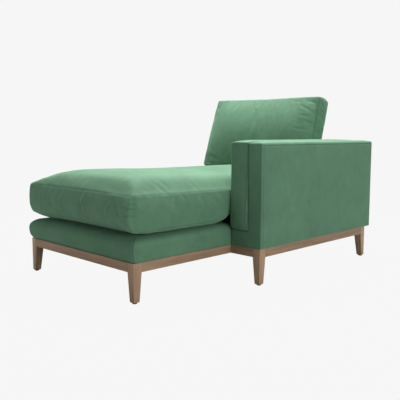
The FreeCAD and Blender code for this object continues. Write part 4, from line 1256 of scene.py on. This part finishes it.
def stage():
    """A pale floor that meets a backdrop of its own colour, soft lights and the photo's camera."""
    tone = tuple(colours().floor) + (1.0,)
    material, tree, shader = new_material("pale_floor")
    shader.inputs["Base Color"].default_value = (0.4, 0.4, 0.4, 1)
    shader.inputs["Roughness"].default_value = 0.9
    shader.inputs["Specular IOR Level"].default_value = 0.0
    glow = add(tree, "ShaderNodeEmission", {"Color": tone, "Strength": 1.006})
    seen = add(tree, "ShaderNodeLightPath")
    share = add(tree, "ShaderNodeMath", {1: 0.995}, operation="MULTIPLY")
    blend = add(tree, "ShaderNodeMixShader")
    tree.links.new(seen.outputs["Is Camera Ray"], share.inputs[0])
    tree.links.new(share.outputs["Value"], blend.inputs["Fac"])
    tree.links.new(shader.outputs["BSDF"], blend.inputs[1])
    tree.links.new(glow.outputs["Emission"], blend.inputs[2])
    tree.links.new(blend.outputs["Shader"], tree.nodes["Material Output"].inputs["Surface"])
    reach = 60.0
    corners = np.array([(-1, -1, 0), (1, -1, 0), (1, 1, 0), (-1, 1, 0)]) * reach
    floor = make_piece("floor", corners, np.array([[0, 1, 2, 3]]), material)

    world = bpy.data.worlds.new("studio")
    bpy.context.scene.world = world
    world.use_nodes = True
    nodes = world.node_tree
    backdrop = nodes.nodes["Background"]
    backdrop.inputs["Color"].default_value = tone
    ambient = add(nodes, "ShaderNodeBackground", {"Color": (1.0, 1.0, 1.0, 1), "Strength": 0.08})
    seen = add(nodes, "ShaderNodeLightPath")
    either = add(nodes, "ShaderNodeMixShader")
    nodes.links.new(seen.outputs["Is Camera Ray"], either.inputs["Fac"])
    nodes.links.new(ambient.outputs["Background"], either.inputs[1])
    nodes.links.new(backdrop.outputs["Background"], either.inputs[2])
    nodes.links.new(either.outputs["Shader"], nodes.nodes["World Output"].inputs["Surface"])

    # The lamps' places and powers were fitted to how bright the photograph shows each face
    aim = Vector((0, 0, 0.3))
    for name, place, side, power in (
        ("overhead", (-0.5, 0.95, 3.4), 3.0, 335),
        ("right", (4.0, -0.5, 1.1), 2.0, 71),
        ("front", (-0.9, -3.7, 1.1), 2.0, 26),
    ):
        light = bpy.data.lights.new(name, "AREA")
        light.size = side
        light.energy = power
        lamp = bpy.data.objects.new(name, light)
        lamp.location = place
        lamp.rotation_euler = (aim - Vector(place)).to_track_quat("-Z", "Y").to_euler()
        bpy.context.scene.collection.objects.link(lamp)

    camera = bpy.data.objects.new("camera", bpy.data.cameras.new("camera"))
    bpy.context.scene.collection.objects.link(camera)
    # Solved from the photograph's straight edges
    camera.location = (PLINTH_LEFT + 2.44887, PLINTH_FRONT - 1.29233, 0.65)
    camera.rotation_euler = (math.radians(90 - 6.6323), 0, math.radians(45.2437))
    camera.data.sensor_width = 36.0
    camera.data.lens = 50.363
    camera.data.clip_end = 200
    bpy.context.scene.camera = camera
    bpy.context.scene.view_settings.view_transform = "Standard"


# Operators and panel

class CHAISE_OT_stage(bpy.types.Operator):
    """Makes the floor, the backdrop, the lights and the camera"""

    bl_idname = "chaise.stage"
    bl_label = "Stage"

    def execute(self, context):
        stage()
        return {"FINISHED"}


class CHAISE_OT_seat_block(bpy.types.Operator):
    """Covers the seat block"""

    bl_idname = "chaise.seat_block"
    bl_label = "Seat block"

    def execute(self, context):
        seat_block()
        return {"FINISHED"}


class CHAISE_OT_seat_cushion(bpy.types.Operator):
    """Makes the loose seat cushion"""

    bl_idname = "chaise.seat_cushion"
    bl_label = "Seat cushion"

    def execute(self, context):
        seat_cushion()
        return {"FINISHED"}


class CHAISE_OT_back_cushion(bpy.types.Operator):
    """Makes the loose back cushion"""

    bl_idname = "chaise.back_cushion"
    bl_label = "Back cushion"

    def execute(self, context):
        back_cushion()
        return {"FINISHED"}


class CHAISE_OT_arm(bpy.types.Operator):
    """Covers the arm and makes its pad"""

    bl_idname = "chaise.arm"
    bl_label = "Arm"

    def execute(self, context):
        arm_slab()
        arm_pad()
        return {"FINISHED"}


class CHAISE_OT_back(bpy.types.Operator):
    """Covers the back frame"""

    bl_idname = "chaise.back"
    bl_label = "Back"

    def execute(self, context):
        back_upholstery()
        return {"FINISHED"}


class CHAISE_OT_zips(bpy.types.Operator):
    """Makes the zips of both cushions"""

    bl_idname = "chaise.zips"
    bl_label = "Zips"

    def execute(self, context):
        zips()
        return {"FINISHED"}


class CHAISE_OT_dust_cover(bpy.types.Operator):
    """Makes the cloth under the frames"""

    bl_idname = "chaise.dust_cover"
    bl_label = "Dust cover"

    def execute(self, context):
        dust_cover()
        return {"FINISHED"}


class CHAISE_OT_frame(bpy.types.Operator):
    """Gives the wood, steel and hidden parts their finishes"""

    bl_idname = "chaise.frame"
    bl_label = "Frame finishes"

    def execute(self, context):
        dress_frame()
        return {"FINISHED"}


STEPS = (
    CHAISE_OT_stage, CHAISE_OT_seat_block, CHAISE_OT_arm, CHAISE_OT_back,
    CHAISE_OT_seat_cushion, CHAISE_OT_back_cushion, CHAISE_OT_zips, CHAISE_OT_dust_cover,
    CHAISE_OT_frame,
)


class CHAISE_PT_panel(bpy.types.Panel):
    """Lists the steps that dress the chaise"""

    bl_idname = "CHAISE_PT_panel"
    bl_label = "Chaise"
    bl_space_type = "VIEW_3D"
    bl_region_type = "UI"
    bl_category = "Chaise"

    def draw(self, context):
        for step in STEPS:
            self.layout.operator(step.bl_idname)
        for group in (context.scene.chaise_sizes, context.scene.chaise_colours):
            for name in group.__annotations__:
                self.layout.prop(group, name)


CLASSES = (ChaiseSizes, ChaiseColours, *STEPS, CHAISE_PT_panel)


def register():
    """Adds the operators, the panel and the settings to Blender."""
    for item in CLASSES:
        bpy.utils.register_class(item)
    bpy.types.Scene.chaise_sizes = PointerProperty(type=ChaiseSizes)
    bpy.types.Scene.chaise_colours = PointerProperty(type=ChaiseColours)


def unregister():
    """Takes them out again."""
    del bpy.types.Scene.chaise_colours
    del bpy.types.Scene.chaise_sizes
    for item in reversed(CLASSES):
        bpy.utils.unregister_class(item)


def write_size():
    """Imports json; it writes no box."""
    import json


def main():
    """Dresses the chaise, one step after the other."""
    register()
    for step in STEPS:
        getattr(bpy.ops.chaise, step.bl_idname.split(".")[1])()
    write_size()


if __name__ == "__main__":
    main()
